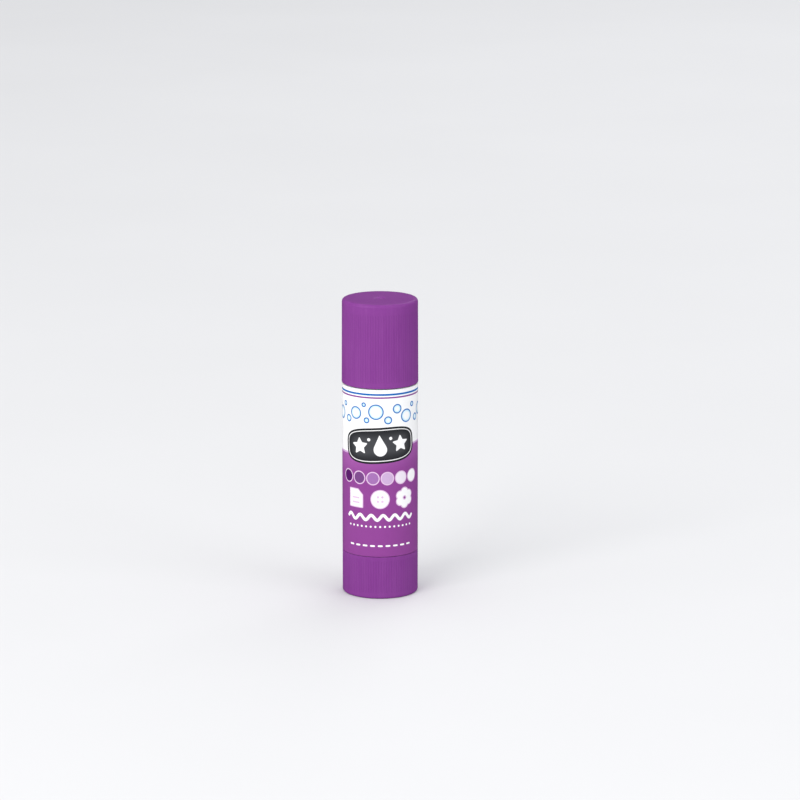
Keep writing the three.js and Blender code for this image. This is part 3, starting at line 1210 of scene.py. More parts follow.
@dataclass
class Barrel:
    """The white barrel: labelled body, slimmer neck with a snap ring, spigot with a floor, guide ribs.

    Its body ends a little lower than the CAD's, so that only a thin joint line shows above the knob.
    """

    reach: Reach = reach_of("barrel")
    bore: float = 10.25
    neck: float = 11.3
    neck_rows: Point = (90.0, 82.0)
    snap_radius: float = 11.5
    snap_middle: float = 75.5
    snap_width: float = 1.4
    shoulder: float = 71.5
    body_rows: Point = (55.0, 35.0)
    body_foot: float = 14.56
    spigot: float = 11.15
    floor_top: float = 11.2
    floor_round: float = 0.4
    hole: float = 3.2
    bore_rows: Point = (12.6, 50.0)
    rib_height: float = 0.6
    rib_top: float = 93.1
    rib_fade: float = 0.5
    line_height: float = 0.025
    columns: int = 240

    @property
    def guides(self) -> Ribs:
        """The guide ribs in the bore."""
        columns = (-0.05, 0.01, 0.07, 0.13)
        return Ribs(self.bore, count=4, width=1.4, inset=0.05, flank=0.12, columns=columns)

    @property
    def parting(self) -> Ribs:
        """The parting line on two sides of the neck."""
        columns = (-0.03, 0.0, 0.045, 0.09)
        return Ribs(self.neck, count=2, width=0.06, flank=0.09, columns=columns, first=math.pi / 4)

    def profile(self) -> Array:
        """From the mouth, down neck and body, under the spigot, through the hole and up the bore.

        Returns:
            The radius and height of each point.
        """
        body, foot, mouth = self.reach
        ring = snap_ring(self.neck, self.snap_radius, self.snap_middle, self.snap_width, 0.2)
        rib_end = np.linspace(self.rib_top - self.rib_fade, self.rib_top, 6)
        return rounded_profile([
            (self.bore, mouth, 0.2), (self.neck, mouth, 0.4), *upright(self.neck, self.neck_rows),
            *ring[::-1], (self.neck, self.shoulder, 0.25),
            (body, self.shoulder, 0.2), *upright(body, self.body_rows),
            (body, self.body_foot, 0.1), (self.spigot, self.body_foot, 0.15), (self.spigot, foot, 0.4),
            (self.hole, foot, 0.15), (self.hole, self.floor_top, 0.15),
            (self.bore, self.floor_top, self.floor_round), *upright(self.bore, [*self.bore_rows, *rib_end]),
        ])

    def bend(self, at: Polar) -> tuple[Array, Array]:
        """Raises the guide ribs in the bore, and a faint parting line on two sides of the neck.

        Args:
            at: the turned profile's points.

        Returns:
            Their radii and heights after that.
        """
        mouth = self.reach.top
        rib = self.guides.mask(at.angle) * smooth(self.rib_top, self.rib_top - self.rib_fade, at.height)
        rib = rib * smooth(self.floor_top, self.floor_top + self.floor_round, at.height)
        rib = rib * lies_on(at.radius, self.bore)
        line = self.parting.mask(at.angle) * lies_on(at.radius, self.neck)
        line = line * smooth(mouth - 0.4, mouth - 0.8, at.height)
        return at.radius - self.rib_height * rib + self.line_height * line, at.height

    def build(self) -> list[bpy.types.Object]:
        """The barrel as a dressed piece.

        Returns:
            The piece.
        """
        angles = even_angles(self.columns, [*self.guides.angles(), *self.parting.angles()])
        skin = Skin.turned(self.profile(), angles, Ends.JOINED, self.bend)
        return [finish_piece("barrel_tube", skin, MILKY.material(), Body.BARREL, ["barrel"])]


def nearest(*distances: Array) -> Array:
    """The distance to the nearest of several shapes, which is the least of theirs."""
    return np.minimum.reduce(distances)


def cut(shape: Array, *holes: Array) -> Array:
    """The distance to a shape with holes in it: the greatest of its own and of minus each hole's."""
    return np.maximum.reduce([shape, *(-hole for hole in holes)])


@dataclass(frozen=True)
class Flat:
    """Places on the unrolled wrap, and their distances to flat shapes whose middle is at 0, 0.

    Lengths are in millimetres, along the wrap and upwards. A distance is under 0 inside its shape and
    over 0 outside.
    """

    u: Array
    v: Array

    def at(self, u: float, v: float) -> "Flat":
        """The places as seen from another middle."""
        return Flat(self.u - u, self.v - v)

    def repeated(self, pitch: float) -> "Flat":
        """The places as seen from the nearest of many middles, one for each pitch along the wrap."""
        return Flat((self.u + pitch / 2) % pitch - pitch / 2, self.v)

    def disc(self, radius: float) -> Array:
        """Distance to a disc: the distance to its middle less its radius."""
        return np.hypot(self.u, self.v) - radius

    def box(self, half_u: float, half_v: float, rounding: float) -> Array:
        """Distance to a rounded box: that to the box drawn in by the rounding, less the rounding.

        Args:
            half_u, half_v: half of its width and height.
            rounding: the radius of its corners.

        Returns:
            The distance.
        """
        u, v = np.abs(self.u) - half_u + rounding, np.abs(self.v) - half_v + rounding
        outside = np.hypot(np.maximum(u, 0), np.maximum(v, 0))
        return outside + np.minimum(np.maximum(u, v), 0) - rounding

    def stroke(self, points: Sequence[Point], half: float) -> Array:
        """Distance to a round-ended stroke: the least distance to its segments, less half its width.

        Args:
            points: the ends of its segments.
            half: half of its width.

        Returns:
            The distance.
        """
        distances = []
        for (start_u, start_v), (end_u, end_v) in zip(points[:-1], points[1:]):
            u, v = self.u - start_u, self.v - start_v
            du, dv = end_u - start_u, end_v - start_v
            along = np.clip((u * du + v * dv) / (du * du + dv * dv), 0, 1)
            distances.append(np.hypot(u - along * du, v - along * dv))
        return nearest(*distances) - half

    def polygon(self, points: Sequence[Point]) -> Array:
        """Distance to a filled polygon, which is that to its outline, and under 0 inside.

        A place lies inside where a ray from it along the wrap crosses the outline an odd number of times.

        Args:
            points: its corners.

        Returns:
            The distance.
        """
        loop = [*points, points[0]]
        inside = np.zeros(np.shape(self.u), bool)
        for (start_u, start_v), (end_u, end_v) in zip(loop[:-1], loop[1:]):
            if start_v != end_v:
                crossing = (end_u - start_u) * (self.v - start_v) / (end_v - start_v) + start_u
                inside ^= ((start_v > self.v) != (end_v > self.v)) & (self.u < crossing)
        away = self.stroke(loop, 0.0)
        return np.where(inside, -away, away)

    def wave(self, length: float, tall: float, pitch: float, half: float) -> Array:
        """Distance to a wavy stroke: one through points of tall sin(2 pi u / pitch).

        Args:
            length: its length along the wrap.
            tall: how far it rises and falls.
            pitch: the length of one wave, which has twelve points.
            half: half of its width.

        Returns:
            The distance.
        """
        along = np.linspace(-length / 2, length / 2, int(length / pitch * 12) + 1)
        return self.stroke([(float(u), tall * math.sin(2 * math.pi * u / pitch)) for u in along], half)

    def drop(self, radius: float) -> Array:
        """Distance to a drop: a disc and the triangle between a tip above it and its tangents' feet.

        Args:
            radius: the disc's radius.

        Returns:
            The distance.
        """
        tip, side, rise = 2.2 * radius, 0.891 * radius, 0.454 * radius
        return nearest(self.disc(radius), self.polygon([(0.0, tip), (-side, rise), (side, rise)]))

    def star(self, radius: float, rounding: float = 0.2) -> Array:
        """Distance to a rounded five-pointed star: a polygon of tips and of notches at half their radius.

        Args:
            radius: the radius of its tips.
            rounding: the radius of their ends.

        Returns:
            The distance.
        """
        points = []
        for i in range(10):
            reach, turn = (radius - rounding) * (0.5 if i % 2 else 1.0), math.pi / 2 + math.pi * i / 5
            points.append((reach * math.cos(turn), reach * math.sin(turn)))
        return self.polygon(points) - rounding

    def flower(self, radius: float, petals: int) -> Array:
        """Distance to a flower: round petals on a ring and a round middle with a hole in it.

        Args:
            radius: its radius.
            petals: the number of petals.

        Returns:
            The distance.
        """
        turns = [math.pi / 2 + 2 * math.pi * i / petals for i in range(petals)]
        ring = 0.6 * radius
        middles = [self.at(ring * math.cos(turn), ring * math.sin(turn)) for turn in turns]
        discs = [middle.disc(0.4 * radius) for middle in middles]
        return cut(nearest(*discs, self.disc(0.45 * radius)), self.disc(0.24 * radius))


@dataclass(frozen=True)
class Artwork:
    """The generic print on the wrap, in millimetres from the middle of its front and from the floor.

    It has bubbles, a badge with a drop between stars, a row of spots, plain pictures, dots and dashes.
    Bubbles, drop, stars and dots are given by place and radius, and flowers by their petals too.
    """

    wall: float
    clear: float = 9.0
    limits: Point = (-12.0, 3.0)
    front_half: float = 20.0
    row_half: float = 11.9
    field_height: float = 50.55
    field_wave: float = 1.5
    field_ripple: float = 0.28
    ripple_shift: float = 0.6
    badge_height: float = 52.6
    badge_tilt: float = 3.5
    badge_half: Point = (12.9, 6.1)
    badge_power: float = 3.2
    badge_drop: Corner = (0.0, -1.35, 2.25)
    badge_star: Corner = (7.1, 0.0, 2.9)
    badge_dot: Corner = (3.7, 2.2, 0.55)
    spot_height: float = 41.4
    spot_count: int = 6
    spot_pitch: float = 4.9
    spot_radius: float = 1.95
    icon_height: float = 34.3
    paper: tuple[Point, ...] = ((-11.2, -2.9), (-6.2, -2.9), (-6.2, 1.2), (-7.9, 2.9), (-11.2, 2.9))
    paper_line: Point = (-10.0, -7.5)
    paper_rows: Point = (-1.5, 0.1)
    button_radius: float = 2.9
    hole_places: Point = (-0.75, 0.75)
    hole_radius: float = 0.45
    wave_height: float = 28.0
    dot_height: float = 24.9
    dot_pitch: float = 1.6
    dot_radius: float = 0.36
    dash_height: float = 18.3
    dash_pitch: float = 2.6
    dash_half: Point = (0.85, 0.3)
    panel_middle: float = 26.4
    panel_height: float = 32.0
    panel_half: Point = (7.4, 13.6)
    panel_round: float = 2.2
    bubble_repeats: int = 3
    bubbles: tuple[Corner, ...] = (
        (-12.0, 61.0, 1.25), (-8.7, 63.3, 2.15), (-4.6, 61.1, 1.0), (-1.4, 64.0, 2.6), (2.7, 61.2, 1.35),
        (5.9, 64.9, 1.6), (9.6, 62.2, 2.25), (12.4, 65.7, 0.9), (-5.6, 66.3, 0.8),
    )
    flowers: tuple[tuple[float, float, float, int], ...] = (
        (8.8, 34.3, 3.3, 6), (-28.2, 38.2, 4.2, 6), (-22.6, 31.6, 2.9, 5), (-30.2, 28.4, 3.3, 7),
    )

    def divide(self, u: Array) -> Array:
        """Height of the edge of the purple field: a slow wave, low on the left and high on the right.

        It is height + wave sin a + ripple sin(2 a + shift), where a is the angle round the wrap.

        Args:
            u: the places along the wrap.

        Returns:
            The height at each.
        """
        turn = u / self.wall
        ripple = self.field_ripple * np.sin(2 * turn + self.ripple_shift)
        return self.field_height + self.field_wave * np.sin(turn) + ripple

    def badge(self, wrap: Flat) -> tuple[Array, Array]:
        """The dark badge on the front, and the white print on it: a drop between two stars, with dots.

        The badge's distance is the superellipse level of a point, less 1, over the steepness of that
        level, which is close to a true distance near the edge.

        Args:
            wrap: the places on the wrap.

        Returns:
            The distances to the badge and to its white print.
        """
        tilt, power = math.radians(self.badge_tilt), self.badge_power
        half_u, half_v = self.badge_half
        rise = wrap.v - self.badge_height
        u = wrap.u * math.cos(tilt) + rise * math.sin(tilt)
        v = rise * math.cos(tilt) - wrap.u * math.sin(tilt)
        share_u, share_v = np.abs(u / half_u), np.abs(v / half_v)
        level = (share_u ** power + share_v ** power) ** (1 / power)
        slope = np.hypot(share_u ** (power - 1) / half_u, share_v ** (power - 1) / half_v)
        slope = slope / np.maximum(level, 0.05) ** (power - 1)
        here = Flat(u, v)
        drop_u, drop_v, drop = self.badge_drop
        star_u, star_v, star = self.badge_star
        dot_u, dot_v, dot = self.badge_dot
        white = [here.at(drop_u, drop_v).drop(drop)]
        for side in (-1, 1):
            white += [here.at(side * star_u, star_v).star(star), here.at(side * dot_u, dot_v).disc(dot)]
        on_front = np.abs(wrap.u) < self.front_half
        return (level - 1) / np.maximum(slope, 0.05), np.where(on_front, nearest(*white), self.clear)

    def icons(self, wrap: Flat) -> Array:
        """A sheet of paper with a cut corner, a button with four holes, and flowers at front and back.

        Args:
            wrap: the places on the wrap.

        Returns:
            The distance to the nearest of them.
        """
        row = wrap.at(0.0, self.icon_height)
        start, end = self.paper_line
        lines = [row.stroke([(start, rise), (end, rise)], 0.3) for rise in self.paper_rows]
        places = [(side, rise) for side in self.hole_places for rise in self.hole_places]
        holes = [row.at(side, rise).disc(self.hole_radius) for side, rise in places]
        flowers = [wrap.at(u, v).flower(radius, petals) for u, v, radius, petals in self.flowers]
        button = cut(row.disc(self.button_radius), *holes)
        return nearest(cut(row.polygon(self.paper), *lines), button, *flowers)

    def panel(self, wrap: Flat) -> tuple[Array, Array]:
        """A white panel at the back right, with three plain pictures: uncap, turn and spread.

        Args:
            wrap: the places on the wrap.

        Returns:
            The distances to the panel and to its plum print.
        """
        here = wrap.at(self.panel_middle, 0.0)
        cap_off = nearest(
            here.at(-1.6, 41.2).box(1.7, 1.3, 0.4),
            here.at(-1.6, 37.6).box(1.3, 1.5, 0.2),
            here.stroke([(2.6, 38.0), (2.6, 41.4)], 0.26),
            here.stroke([(1.4, 40.4), (2.6, 41.8), (3.8, 40.4)], 0.26),
        )
        arc = np.linspace(math.radians(-40), math.radians(215), 26)
        turning = nearest(
            here.stroke([(2.5 * math.cos(turn), 31.6 + 2.1 * math.sin(turn)) for turn in arc], 0.3),
            here.polygon([(0.9, 30.2), (3.1, 30.9), (2.6, 28.9)]),
            here.at(0.0, 31.4).box(0.8, 1.2, 0.2),
        )
        spreading = here.at(0.0, 23.2).wave(length=9.4, tall=0.75, pitch=3.1, half=0.42)
        white = here.at(0.0, self.panel_height).box(*self.panel_half, self.panel_round)
        return white, nearest(cap_off, turning, spreading)

    def marks(self, wrap: Flat) -> dict[str, Array]:
        """The marks of the whole print.

        Args:
            wrap: the places on the wrap, from the middle of the front and from the floor.

        Returns:
            For each printed form, the distance to it; "rise" is the height, and "tone" the colour of
            the spots.
        """
        period = 2 * math.pi * self.wall / self.bubble_repeats
        bubbles = [wrap.at(u, v).repeated(period).disc(radius) for u, v, radius in self.bubbles]
        badge, white = self.badge(wrap)
        panel, plum = self.panel(wrap)
        first = -self.spot_pitch * (self.spot_count - 1) / 2
        middles = [first + self.spot_pitch * i for i in range(self.spot_count)]
        spots = [wrap.at(middle, self.spot_height).disc(self.spot_radius) for middle in middles]
        beyond = np.where(np.abs(wrap.u) < self.row_half, 0.0, self.clear)
        wave = wrap.at(0.0, self.wave_height).wave(length=24.0, tall=0.85, pitch=4.0, half=0.5)
        dots = wrap.at(0.0, self.dot_height).repeated(self.dot_pitch).disc(self.dot_radius) + beyond
        dash = wrap.at(0.0, self.dash_height).repeated(self.dash_pitch)
        dashes = dash.box(*self.dash_half, self.dash_half[1]) + beyond
        marks = {
            "field": wrap.v - self.divide(wrap.u), "badge": badge, "panel": panel,
            "bubble": nearest(*bubbles), "plum": plum, "icon": self.icons(wrap), "spot": nearest(*spots),
            "white": nearest(white, wave, dots, dashes),
        }
        marks = {name: np.clip(distance, *self.limits) for name, distance in marks.items()}
        return {**marks, "tone": np.argmin(spots, axis=0) / (self.spot_count - 1), "rise": wrap.v}


@dataclass
class Label:
    """The printed wrap: a thin film round the barrel, lapped over itself at the back.

    It ends a little lower than the CAD's, as the barrel does.
    """

    reach: Reach = reach_of("label_wrap")
    inner: float = 12.48
    foot: float = 14.6
    lap_width: float = 3.4
    lap_end: float = 0.9
    lap_rise: float = 0.06
    ripple: float = 0.006
    ripple_turn: float = 0.9
    ripple_start: float = 4.5
    ripple_full: float = 1.5
    guard: float = 0.02
    rows: int = 240
    columns: int = 336

    def profile(self) -> Array:
        """Down the outside in close rows, and up the inside.

        Returns:
            The radius and height of each point.
        """
        top, foot = self.reach.top, self.foot
        ends = [top, top - self.guard, foot + self.guard, foot]
        rows = [*ends[:2], *np.linspace(top, foot, self.rows)[1:-1], *ends[2:]]
        outer = np.column_stack([np.full(len(rows), self.reach.radius), rows])
        inner = np.column_stack([np.full(len(ends), self.inner), ends[::-1]])
        return np.vstack([outer, inner])

    def bend(self, at: Polar) -> tuple[Array, Array]:
        """Lifts the film where it laps over its own start, just before the seam at the back.

        The lap has a faint ripple, sin(ripple turn z), which grows towards the seam.

        Args:
            at: the turned profile's points.

        Returns:
            Their radii and heights after that.
        """
        to_seam = (math.pi / 2 - at.angle) * self.reach.radius
        lap = smooth(self.lap_width + self.lap_end, self.lap_width, to_seam)
        ripple = self.ripple * np.sin(at.height * self.ripple_turn)
        ripple = ripple * smooth(self.ripple_start, self.ripple_full, to_seam)
        return at.radius + (self.lap_rise + ripple) * lap, at.height

    def build(self) -> list[bpy.types.Object]:
        """The wrap as a dressed piece: its columns start and end at the seam, where the film steps down.

        Returns:
            The piece.
        """
        guard = self.guard / self.reach.radius
        turns = np.linspace(-math.pi, math.pi, self.columns + 1)
        turns = np.concatenate([[-math.pi, -math.pi + guard], turns[1:-1], [math.pi - guard, math.pi]])
        front = math.pi / 2
        skin = Skin.turned(self.profile(), turns - front, Ends.JOINED, self.bend)
        wrap = Flat((skin.polar.angle + front) * self.reach.radius, skin.polar.height)
        skin.marks.update(Artwork(self.reach.radius).marks(wrap))
        material = FilmFinish().material()
        return [finish_piece("label_film", skin, material, Body.BARREL, ["label_wrap"])]


@dataclass(frozen=True)
class Thread:
    """The left-hand thread that screw and nut share: its lead, radii and widths."""

    lead: float = 6.0
    foot: float = 13.8
    top: float = 85.9
    core: float = 2.35
    depth: float = 1.0
    root_width: float = 2.2
    crest_width: float = 1.2
    nut_bore: float = 3.7
    fit: float = 0.35

    @property
    def flank(self) -> float:
        """How far a ridge's flank runs along the axis."""
        return (self.root_width - self.crest_width) / 2

    def middle(self, at: Polar, offset: float) -> Array:
        """Height of the middle of the nearest ridge: foot + lead (k + offset - a / 2 pi), k whole.

        Args:
            at: the points.
            offset: how far the ridge is shifted, in leads.

        Returns:
            The heights.
        """
        turn = at.angle / (2 * math.pi)
        whole = np.round((at.height - self.foot) / self.lead + turn - offset)
        return self.foot + self.lead * (whole + offset - turn)

    def rise(self, at: Polar) -> Array:
        """How far the screw's ridge stands above its core: a trapezium across the ridge's middle.

        Args:
            at: the points.

        Returns:
            The rise.
        """
        middle = self.middle(at, 0.0)
        away = np.abs(at.height - middle)
        ridge = np.clip((self.root_width / 2 - away) / self.flank, 0, 1)
        window = smooth(self.foot - 0.05, self.foot + 0.3, middle)
        return self.depth * ridge * window * smooth(self.top + 0.05, self.top - 0.3, middle)

    def nut_rise(self, at: Polar, low: float, high: float) -> Array:
        """How far the nut's ridge stands in from its bore.

        It fills the screw's groove up to the fit, so half its root is half a lead, less half of what
        the screw's ridge would measure at the nut's bore, less the fit.

        Args:
            at: the points.
            low, high: the heights between which the ridge's middle runs.

        Returns:
            The rise.
        """
        middle = self.middle(at, 0.5)
        away = np.abs(at.height - middle)
        screw_half = self.root_width / 2 - (self.nut_bore - self.core) * self.flank / self.depth
        root = self.lead / 2 - screw_half - self.fit
        ridge = np.clip((root - away) / self.flank, 0, 1)
        window = smooth(low - 0.2, low + 0.1, middle)
        return self.depth * ridge * window * smooth(high + 0.2, high - 0.1, middle)


@dataclass
class Screw:
    """The screw: six-sided drive stub, journal, thrust flange, threaded rod and its coned tip."""

    reach: Reach = reach_of("lead_screw")
    stub_corner: float = 2.5
    journal: float = 2.9
    journal_foot: float = 9.7
    flange_foot: float = 11.5
    flange_top: float = 12.7
    tip_cone: float = 1.0
    columns: int = 96
    row_step: float = 0.13
    row_margin: float = 0.1
    thread: Thread = Thread()

    def profile(self) -> Array:
        """From the tip down the rod, round the flange and the journal, and down the stub.

        Returns:
            The radius and height of each point.
        """
        flange, foot, tip = self.reach
        core, neck = self.thread.core, tip - self.tip_cone
        rows = np.arange(neck - self.row_margin, self.flange_top + self.row_margin, -self.row_step)
        return rounded_profile([
            (0.0, tip, 0.0), (core - self.tip_cone, tip, 0.15),
            *upright(core, [neck, *rows, self.flange_top]),
            (flange, self.flange_top, 0.2), (flange, self.flange_foot, 0.2),
            (self.journal, self.flange_foot, 0.1), (self.journal, self.journal_foot, 0.2),
            (self.stub_corner, self.journal_foot, 0.05), (self.stub_corner, foot, 0.2), (0.0, foot, 0.0),
        ])

    def bend(self, at: Polar) -> tuple[Array, Array]:
        """Raises the thread above the core and makes the stub six-sided.

        Args:
            at: the turned profile's points.

        Returns:
            Their radii and heights after that.
        """
        on_rod = (at.radius < self.thread.core + 0.01) & (at.height > self.flange_top + 0.01)
        on_stub = (at.radius < self.stub_corner + 0.01) & (at.height < self.journal_foot - 0.02)
        radius = at.radius * np.where(on_stub, six_sided(at.angle), 1.0)
        return radius + self.thread.rise(at) * on_rod, at.height

    def build(self) -> list[bpy.types.Object]:
        """The screw as a dressed piece.

        Returns:
            The piece.
        """
        skin = Skin.turned(self.profile(), even_angles(self.columns), Ends.ON_AXIS, self.bend)
        material = SCREW_WHITE.material()
        return [finish_piece("screw_rod", skin, material, Body.KNOB, ["lead_screw"])]


@dataclass
class Carrier:
    """The carrier: a keyed cup with a threaded nut in its middle and four blades that hold the glue."""

    reach: Reach = reach_of("carrier_cup")
    radius: float = 10.0
    inner: float = 9.1
    deck: float = 14.4
    nut_outer: float = 5.05
    nut_top: float = 22.4
    ridge_low: float = 15.575
    ridge_high: float = 19.825
    row_step: float = 0.13
    blade_count: int = 4
    blade_width: float = 0.9
    blade_top: float = 19.4
    blade_root: float = 0.15
    key_depth: float = 0.6
    columns: int = 192
    thread: Thread = Thread()

    @property
    def keys(self) -> Ribs:
        """The keyways for the barrel's guide ribs."""
        return Ribs(self.radius, count=4, width=1.9, flank=0.1, columns=(-0.01, 0.05, 0.11))

    def profile(self) -> Array:
        """From the rim, down the outside, under the cup, up the nut's bore and over it to the rim.

        Returns:
            The radius and height of each point.
        """
        foot, rim, bore = self.reach.foot, self.reach.top, self.thread.nut_bore
        return rounded_profile([
            (self.inner, rim, 0.2), (self.radius, rim, 0.2), (self.radius, foot, 0.25),
            *on_level((self.inner + 0.1, self.inner - 0.2), foot), (bore, foot, 0.15),
            *upright(bore, np.arange(foot + 0.35, self.nut_top - 0.3, self.row_step)),
            (bore, self.nut_top, 0.15), (self.nut_outer, self.nut_top, 0.2),
            (self.nut_outer, self.deck, 0.25), (self.inner, self.deck, 0.3),
        ])

    def bend(self, at: Polar) -> tuple[Array, Array]:
        """Cuts the keyways into the outside and raises the nut's thread in its bore.

        Args:
            at: the turned profile's points.

        Returns:
            Their radii and heights after that.
        """
        in_bore = at.radius < self.thread.nut_bore + 0.02
        ridge = self.thread.nut_rise(at, self.ridge_low, self.ridge_high) * in_bore
        depth = self.key_depth * self.keys.mask(at.angle)
        return key_cut(at.radius, self.inner + 0.1, self.radius, depth) - ridge, at.height

    def build(self) -> list[bpy.types.Object]:
        """The carrier as a dressed piece, its blades sunk a little into nut, wall and deck.

        Returns:
            The piece.
        """
        angles = even_angles(self.columns, self.keys.angles())
        cup = Skin.turned(self.profile(), angles, Ends.JOINED, self.bend)
        blades = Skin.radial_blocks(
            self.blade_count, first=math.pi / 4, inner=self.nut_outer - self.blade_root,
            outer=self.inner + self.blade_root, width=self.blade_width,
            foot=self.deck - self.blade_root, top=self.blade_top,
        )
        skin = Skin.joined([cup, blades])
        material = MILKY.material()
        return [finish_piece("carrier_nut_cup", skin, material, Body.CARRIER, ["carrier_cup"])]


@dataclass
class Glue:
    """The cast glue, in three lengths.

    The foot lies in the carrier round the nut, the shaft runs from the foot's step up to the joint, and the
    end has a dished top with a faint spiral ripple. All three ride on the carrier.
    """

    reach: Reach = reach_of("glue_core")
    radius: float = 10.0
    cup_inner: float = 8.8
    nut_room: float = 5.35
    nut_top: float = 22.7
    bore: float = 3.65
    step: float = 24.3
    middle_row: float = 60.0
    joint: float = 88.5
    joint_round: float = 0.02
    top_round: float = 0.8
    dish: float = 0.25
    dish_radius: float = 9.2
    ring_step: float = 0.18
    ripple: float = 0.035
    ripple_turn: float = 3.4
    key_root: float = 1.4
    key_depth: float = 0.6
    columns: int = 240
    shaft_keep: float = 0.045
    end_keep: float = 0.95

    @property
    def keys(self) -> Ribs:
        """The grooves that the barrel's guide ribs press into the outside."""
        return Ribs(self.radius, count=4, width=1.9, flank=0.14, columns=(0.0, 0.05, 0.1, 0.15))

    def foot_profile(self) -> Array:
        """Round the glue in the carrier, outside the nut.

        Returns:
            The radius and height of each point.
        """
        foot, soft = self.reach.foot, self.joint_round
        return rounded_profile([
            (self.bore, self.step, soft), (self.cup_inner, self.step, soft), (self.cup_inner, foot, 0.3),
            (self.nut_room, foot, 0.3), (self.nut_room, self.nut_top, 0.2), (self.bore, self.nut_top, 0.1),
        ])

    def shaft_profile(self) -> Array:
        """Round the bored length between the carrier's rim and the end.

        Returns:
            The radius and height of each point.
        """
        soft, rows = self.joint_round, [self.middle_row]
        return rounded_profile([
            (self.bore, self.joint, soft), (self.radius, self.joint, soft), *upright(self.radius, rows),
            (self.radius, self.step, 0.2), (self.bore, self.step, soft), *upright(self.bore, rows),
        ])

    def end_profile(self) -> Array:
        """From the middle of the end's top to the middle of its underside.

        Returns:
            The radius and height of each point.
        """
        top = self.reach.top
        rings = np.arange(0.4, self.dish_radius - 0.05, self.ring_step)
        return rounded_profile([
            (0.0, top - self.dish, 0.0), *on_level(rings, top), (self.radius, top, self.top_round),
            (self.radius, self.joint, self.joint_round), (0.0, self.joint, 0.0),
        ])

    def bend(self, at: Polar) -> tuple[Array, Array]:
        """Presses the guide ribs' grooves into the outside, and dishes and ripples the top.

        The dish is dish (1 - (r / dish radius)^2) deep, and the shallow spiral ripple in it is
        ripple sin(ripple turn r - a).

        Args:
            at: the turned profile's points.

        Returns:
            Their radii and heights after that.
        """
        reach, radius = self.dish_radius, at.radius
        share = np.clip(1 - (radius / reach) ** 2, 0, 1)
        ripple = self.ripple * np.sin(self.ripple_turn * radius - at.angle)
        ripple = ripple * smooth(0.3, 1.5, radius) * smooth(reach, reach - 0.8, radius)
        height = at.height - (self.dish * share - ripple * share) * (at.height > self.reach.top - 0.02)
        depth = self.key_depth * self.keys.mask(at.angle)
        return key_cut(radius, self.radius - self.key_root, self.radius, depth), height

    def build(self) -> list[bpy.types.Object]:
        """The three lengths as dressed pieces.

        The shaft and the end each get a mesh of their own.

        Returns:
            The pieces.
        """
        angles = even_angles(self.columns, self.keys.angles())
        lengths = (
            ("glue_foot", self.foot_profile(), Ends.JOINED, None),
            ("glue_shaft", self.shaft_profile(), Ends.JOINED, self.bend),
            ("glue_end", self.end_profile(), Ends.ON_AXIS, self.bend),
        )
        pieces = []
        for name, profile, ends, bend in lengths:
            skin = Skin.turned(profile, angles, ends, bend)
            material = GlueFinish().material()
            pieces.append(finish_piece(name, skin, material, Body.CARRIER, ["glue_core"]))
        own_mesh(pieces[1])
        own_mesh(pieces[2])
        return pieces


@dataclass(frozen=True)
class Lamp:
    """A square soft light: its place and size in metres, its power in watts and its colour."""

    name: str
    place: Place
    size: float
    power: float
    colour: Colour


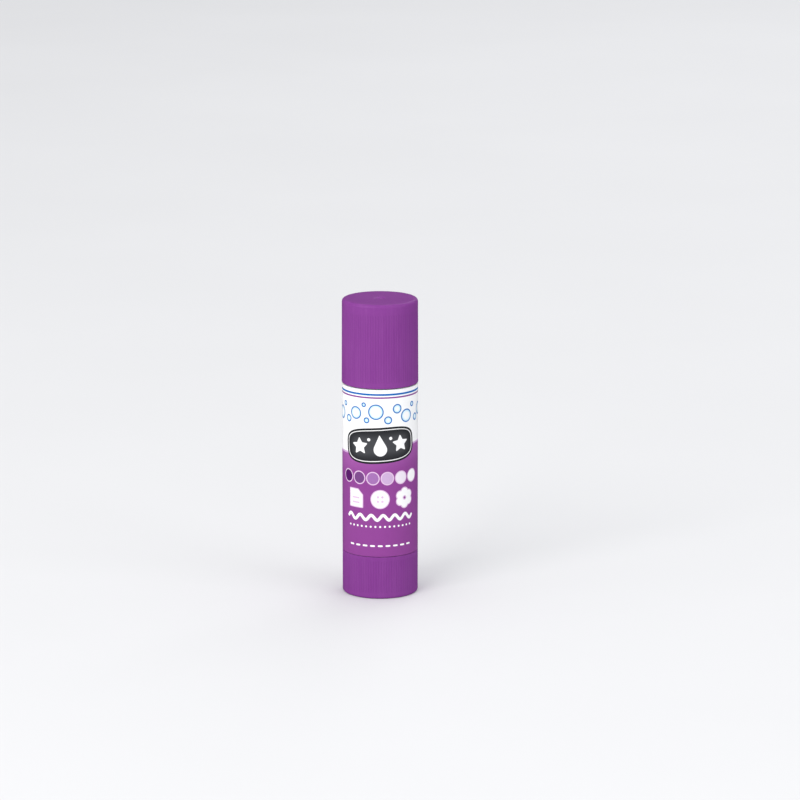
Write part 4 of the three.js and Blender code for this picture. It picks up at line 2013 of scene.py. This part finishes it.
@dataclass
class Studio:
    """The pale floor, the soft lights and the camera at the photograph's angle, in metres."""

    camera_place: Place = (0.0, -1.234, 0.345)
    camera_aim: Place = (0.00665, 0.0, 0.0653)
    lens: float = 170.9
    sensor: float = 36.0
    lamp_aim: Place = (0.0, 0.0, 0.05)
    lamps: tuple[Lamp, ...] = (
        Lamp("key", (-1.05, -1.45, 0.95), 1.2, 22.6, (1.0, 0.99, 0.97)),
        Lamp("right_fill", (1.4, -0.9, 0.7), 1.0, 7.0, (0.97, 0.98, 1.0)),
        Lamp("left_fill", (-1.5, -0.45, 0.3), 0.9, 2.4, (1.0, 0.99, 0.97)),
        Lamp("back_fill", (0.7, 1.5, 1.3), 1.3, 7.0, (0.98, 0.985, 1.0)),
    )
    floor_half: float = 6.0
    floor_pale: Colour = (0.75, 0.75, 0.757)
    floor_dim: Colour = (0.72, 0.72, 0.727)
    floor_roughness: float = 0.7
    floor_specular: float = 0.2
    dome_colour: Colour = (0.97, 0.98, 1.0)
    dome_rise: Point = (0.2, 0.75)
    dome_low: float = 0.42
    dome_high: float = 1.06
    flag: float = 0.9

    def build(self) -> None:
        """Sets the floor, the lights, the camera and the view's plain colours."""
        scene = bpy.context.scene
        scene.view_settings.view_transform = "Standard"
        self._floor()
        scene.world = self._dome()
        for lamp in self.lamps:
            self._light(lamp)
        scene.camera = self._camera()

    def _flagged(self, wiring: Wiring) -> Socket:
        """How much of the light is flagged off: the flag's share for glossy rays, and none for others."""
        return wiring.times(wiring.add("ShaderNodeLightPath").outputs["Is Glossy Ray"], self.flag)

    def _aimed(self, name: str, data: bpy.types.ID, place: Place, aim: Place) -> bpy.types.Object:
        """An object put in its place and turned to face a point.

        Args:
            name: the object's name.
            data: its light or camera.
            place: where it stands.
            aim: the point that it faces.

        Returns:
            The object.
        """
        thing = bpy.data.objects.new(name, data)
        thing.location = place
        thing.rotation_euler = (Vector(aim) - Vector(place)).to_track_quat("-Z", "Y").to_euler()
        bpy.context.scene.collection.objects.link(thing)
        return thing

    def _light(self, lamp: Lamp) -> None:
        """Sets up a lamp that faces the stick.

        Args:
            lamp: the lamp.
        """
        data = bpy.data.lights.new(lamp.name, "AREA")
        data.size = lamp.size
        data.energy = lamp.power
        data.color = lamp.colour
        self._aimed(lamp.name, data, lamp.place, self.lamp_aim)

    def _camera(self) -> bpy.types.Object:
        """The camera, aimed so that the stick stands where it does in the photograph.

        Returns:
            The camera.
        """
        data = bpy.data.cameras.new("camera")
        data.lens = self.lens
        data.sensor_width = self.sensor
        data.clip_start = 0.01
        data.clip_end = 50.0
        return self._aimed("camera", data, self.camera_place, self.camera_aim)

    def _dome(self) -> bpy.types.World:
        """A pale dome of light, dimmer near the horizon than overhead, and dimmer still in reflections.

        Returns:
            The world.
        """
        world = bpy.data.worlds.new("soft_dome")
        world.use_nodes = True
        wiring = Wiring(world.node_tree)
        direction = wiring.add("ShaderNodeTexCoord").outputs["Generated"]
        rise = wiring.add("ShaderNodeSeparateXYZ", {"Vector": direction}).outputs["Z"]
        strength = wiring.step(rise, *self.dome_rise, self.dome_low, self.dome_high)
        strength = wiring.times(strength, wiring.minus(1.0, self._flagged(wiring)))
        wiring.feed(world.node_tree.nodes["Background"], {"Color": self.dome_colour, "Strength": strength})
        return world

    def _floor(self) -> None:
        """A wide pale floor with a faint unevenness, flagged off from the reflections in the stick."""
        half = self.floor_half
        corners = [(-half, -half, 0), (half, -half, 0), (half, half, 0), (-half, half, 0)]
        mesh = bpy.data.meshes.new("floor")
        mesh.from_pydata(corners, [], [(0, 1, 2, 3)])
        material, wiring, shader = start_material("pale_floor")
        colour = wiring.mix(wiring.noise(wiring.place(), 6.0, 3.0), self.floor_dim, self.floor_pale)
        wiring.feed(shader, {
            "Base Color": wiring.mix(self._flagged(wiring), colour, (0.0, 0.0, 0.0)),
            "Roughness": self.floor_roughness,
            "Specular IOR Level": self.floor_specular,
        })
        mesh.materials.append(material)
        floor = bpy.data.objects.new("floor", mesh)
        bpy.context.scene.collection.objects.link(floor)


def main() -> None:
    """Builds the studio and every piece, in order."""
    logging.basicConfig(level=logging.INFO, format="%(message)s")
    Studio().build()
    LOG.info("studio: floor, lights and camera")
    for assembly in (Cap(), Knob(), Barrel(), Label(), Screw(), Carrier(), Glue()):
        for piece in assembly.build():
            triangles = len(piece.data.loops) - 2 * len(piece.data.polygons)
            LOG.info("%s: %d triangles", piece.name, triangles)


if __name__ == "__main__":
    main()
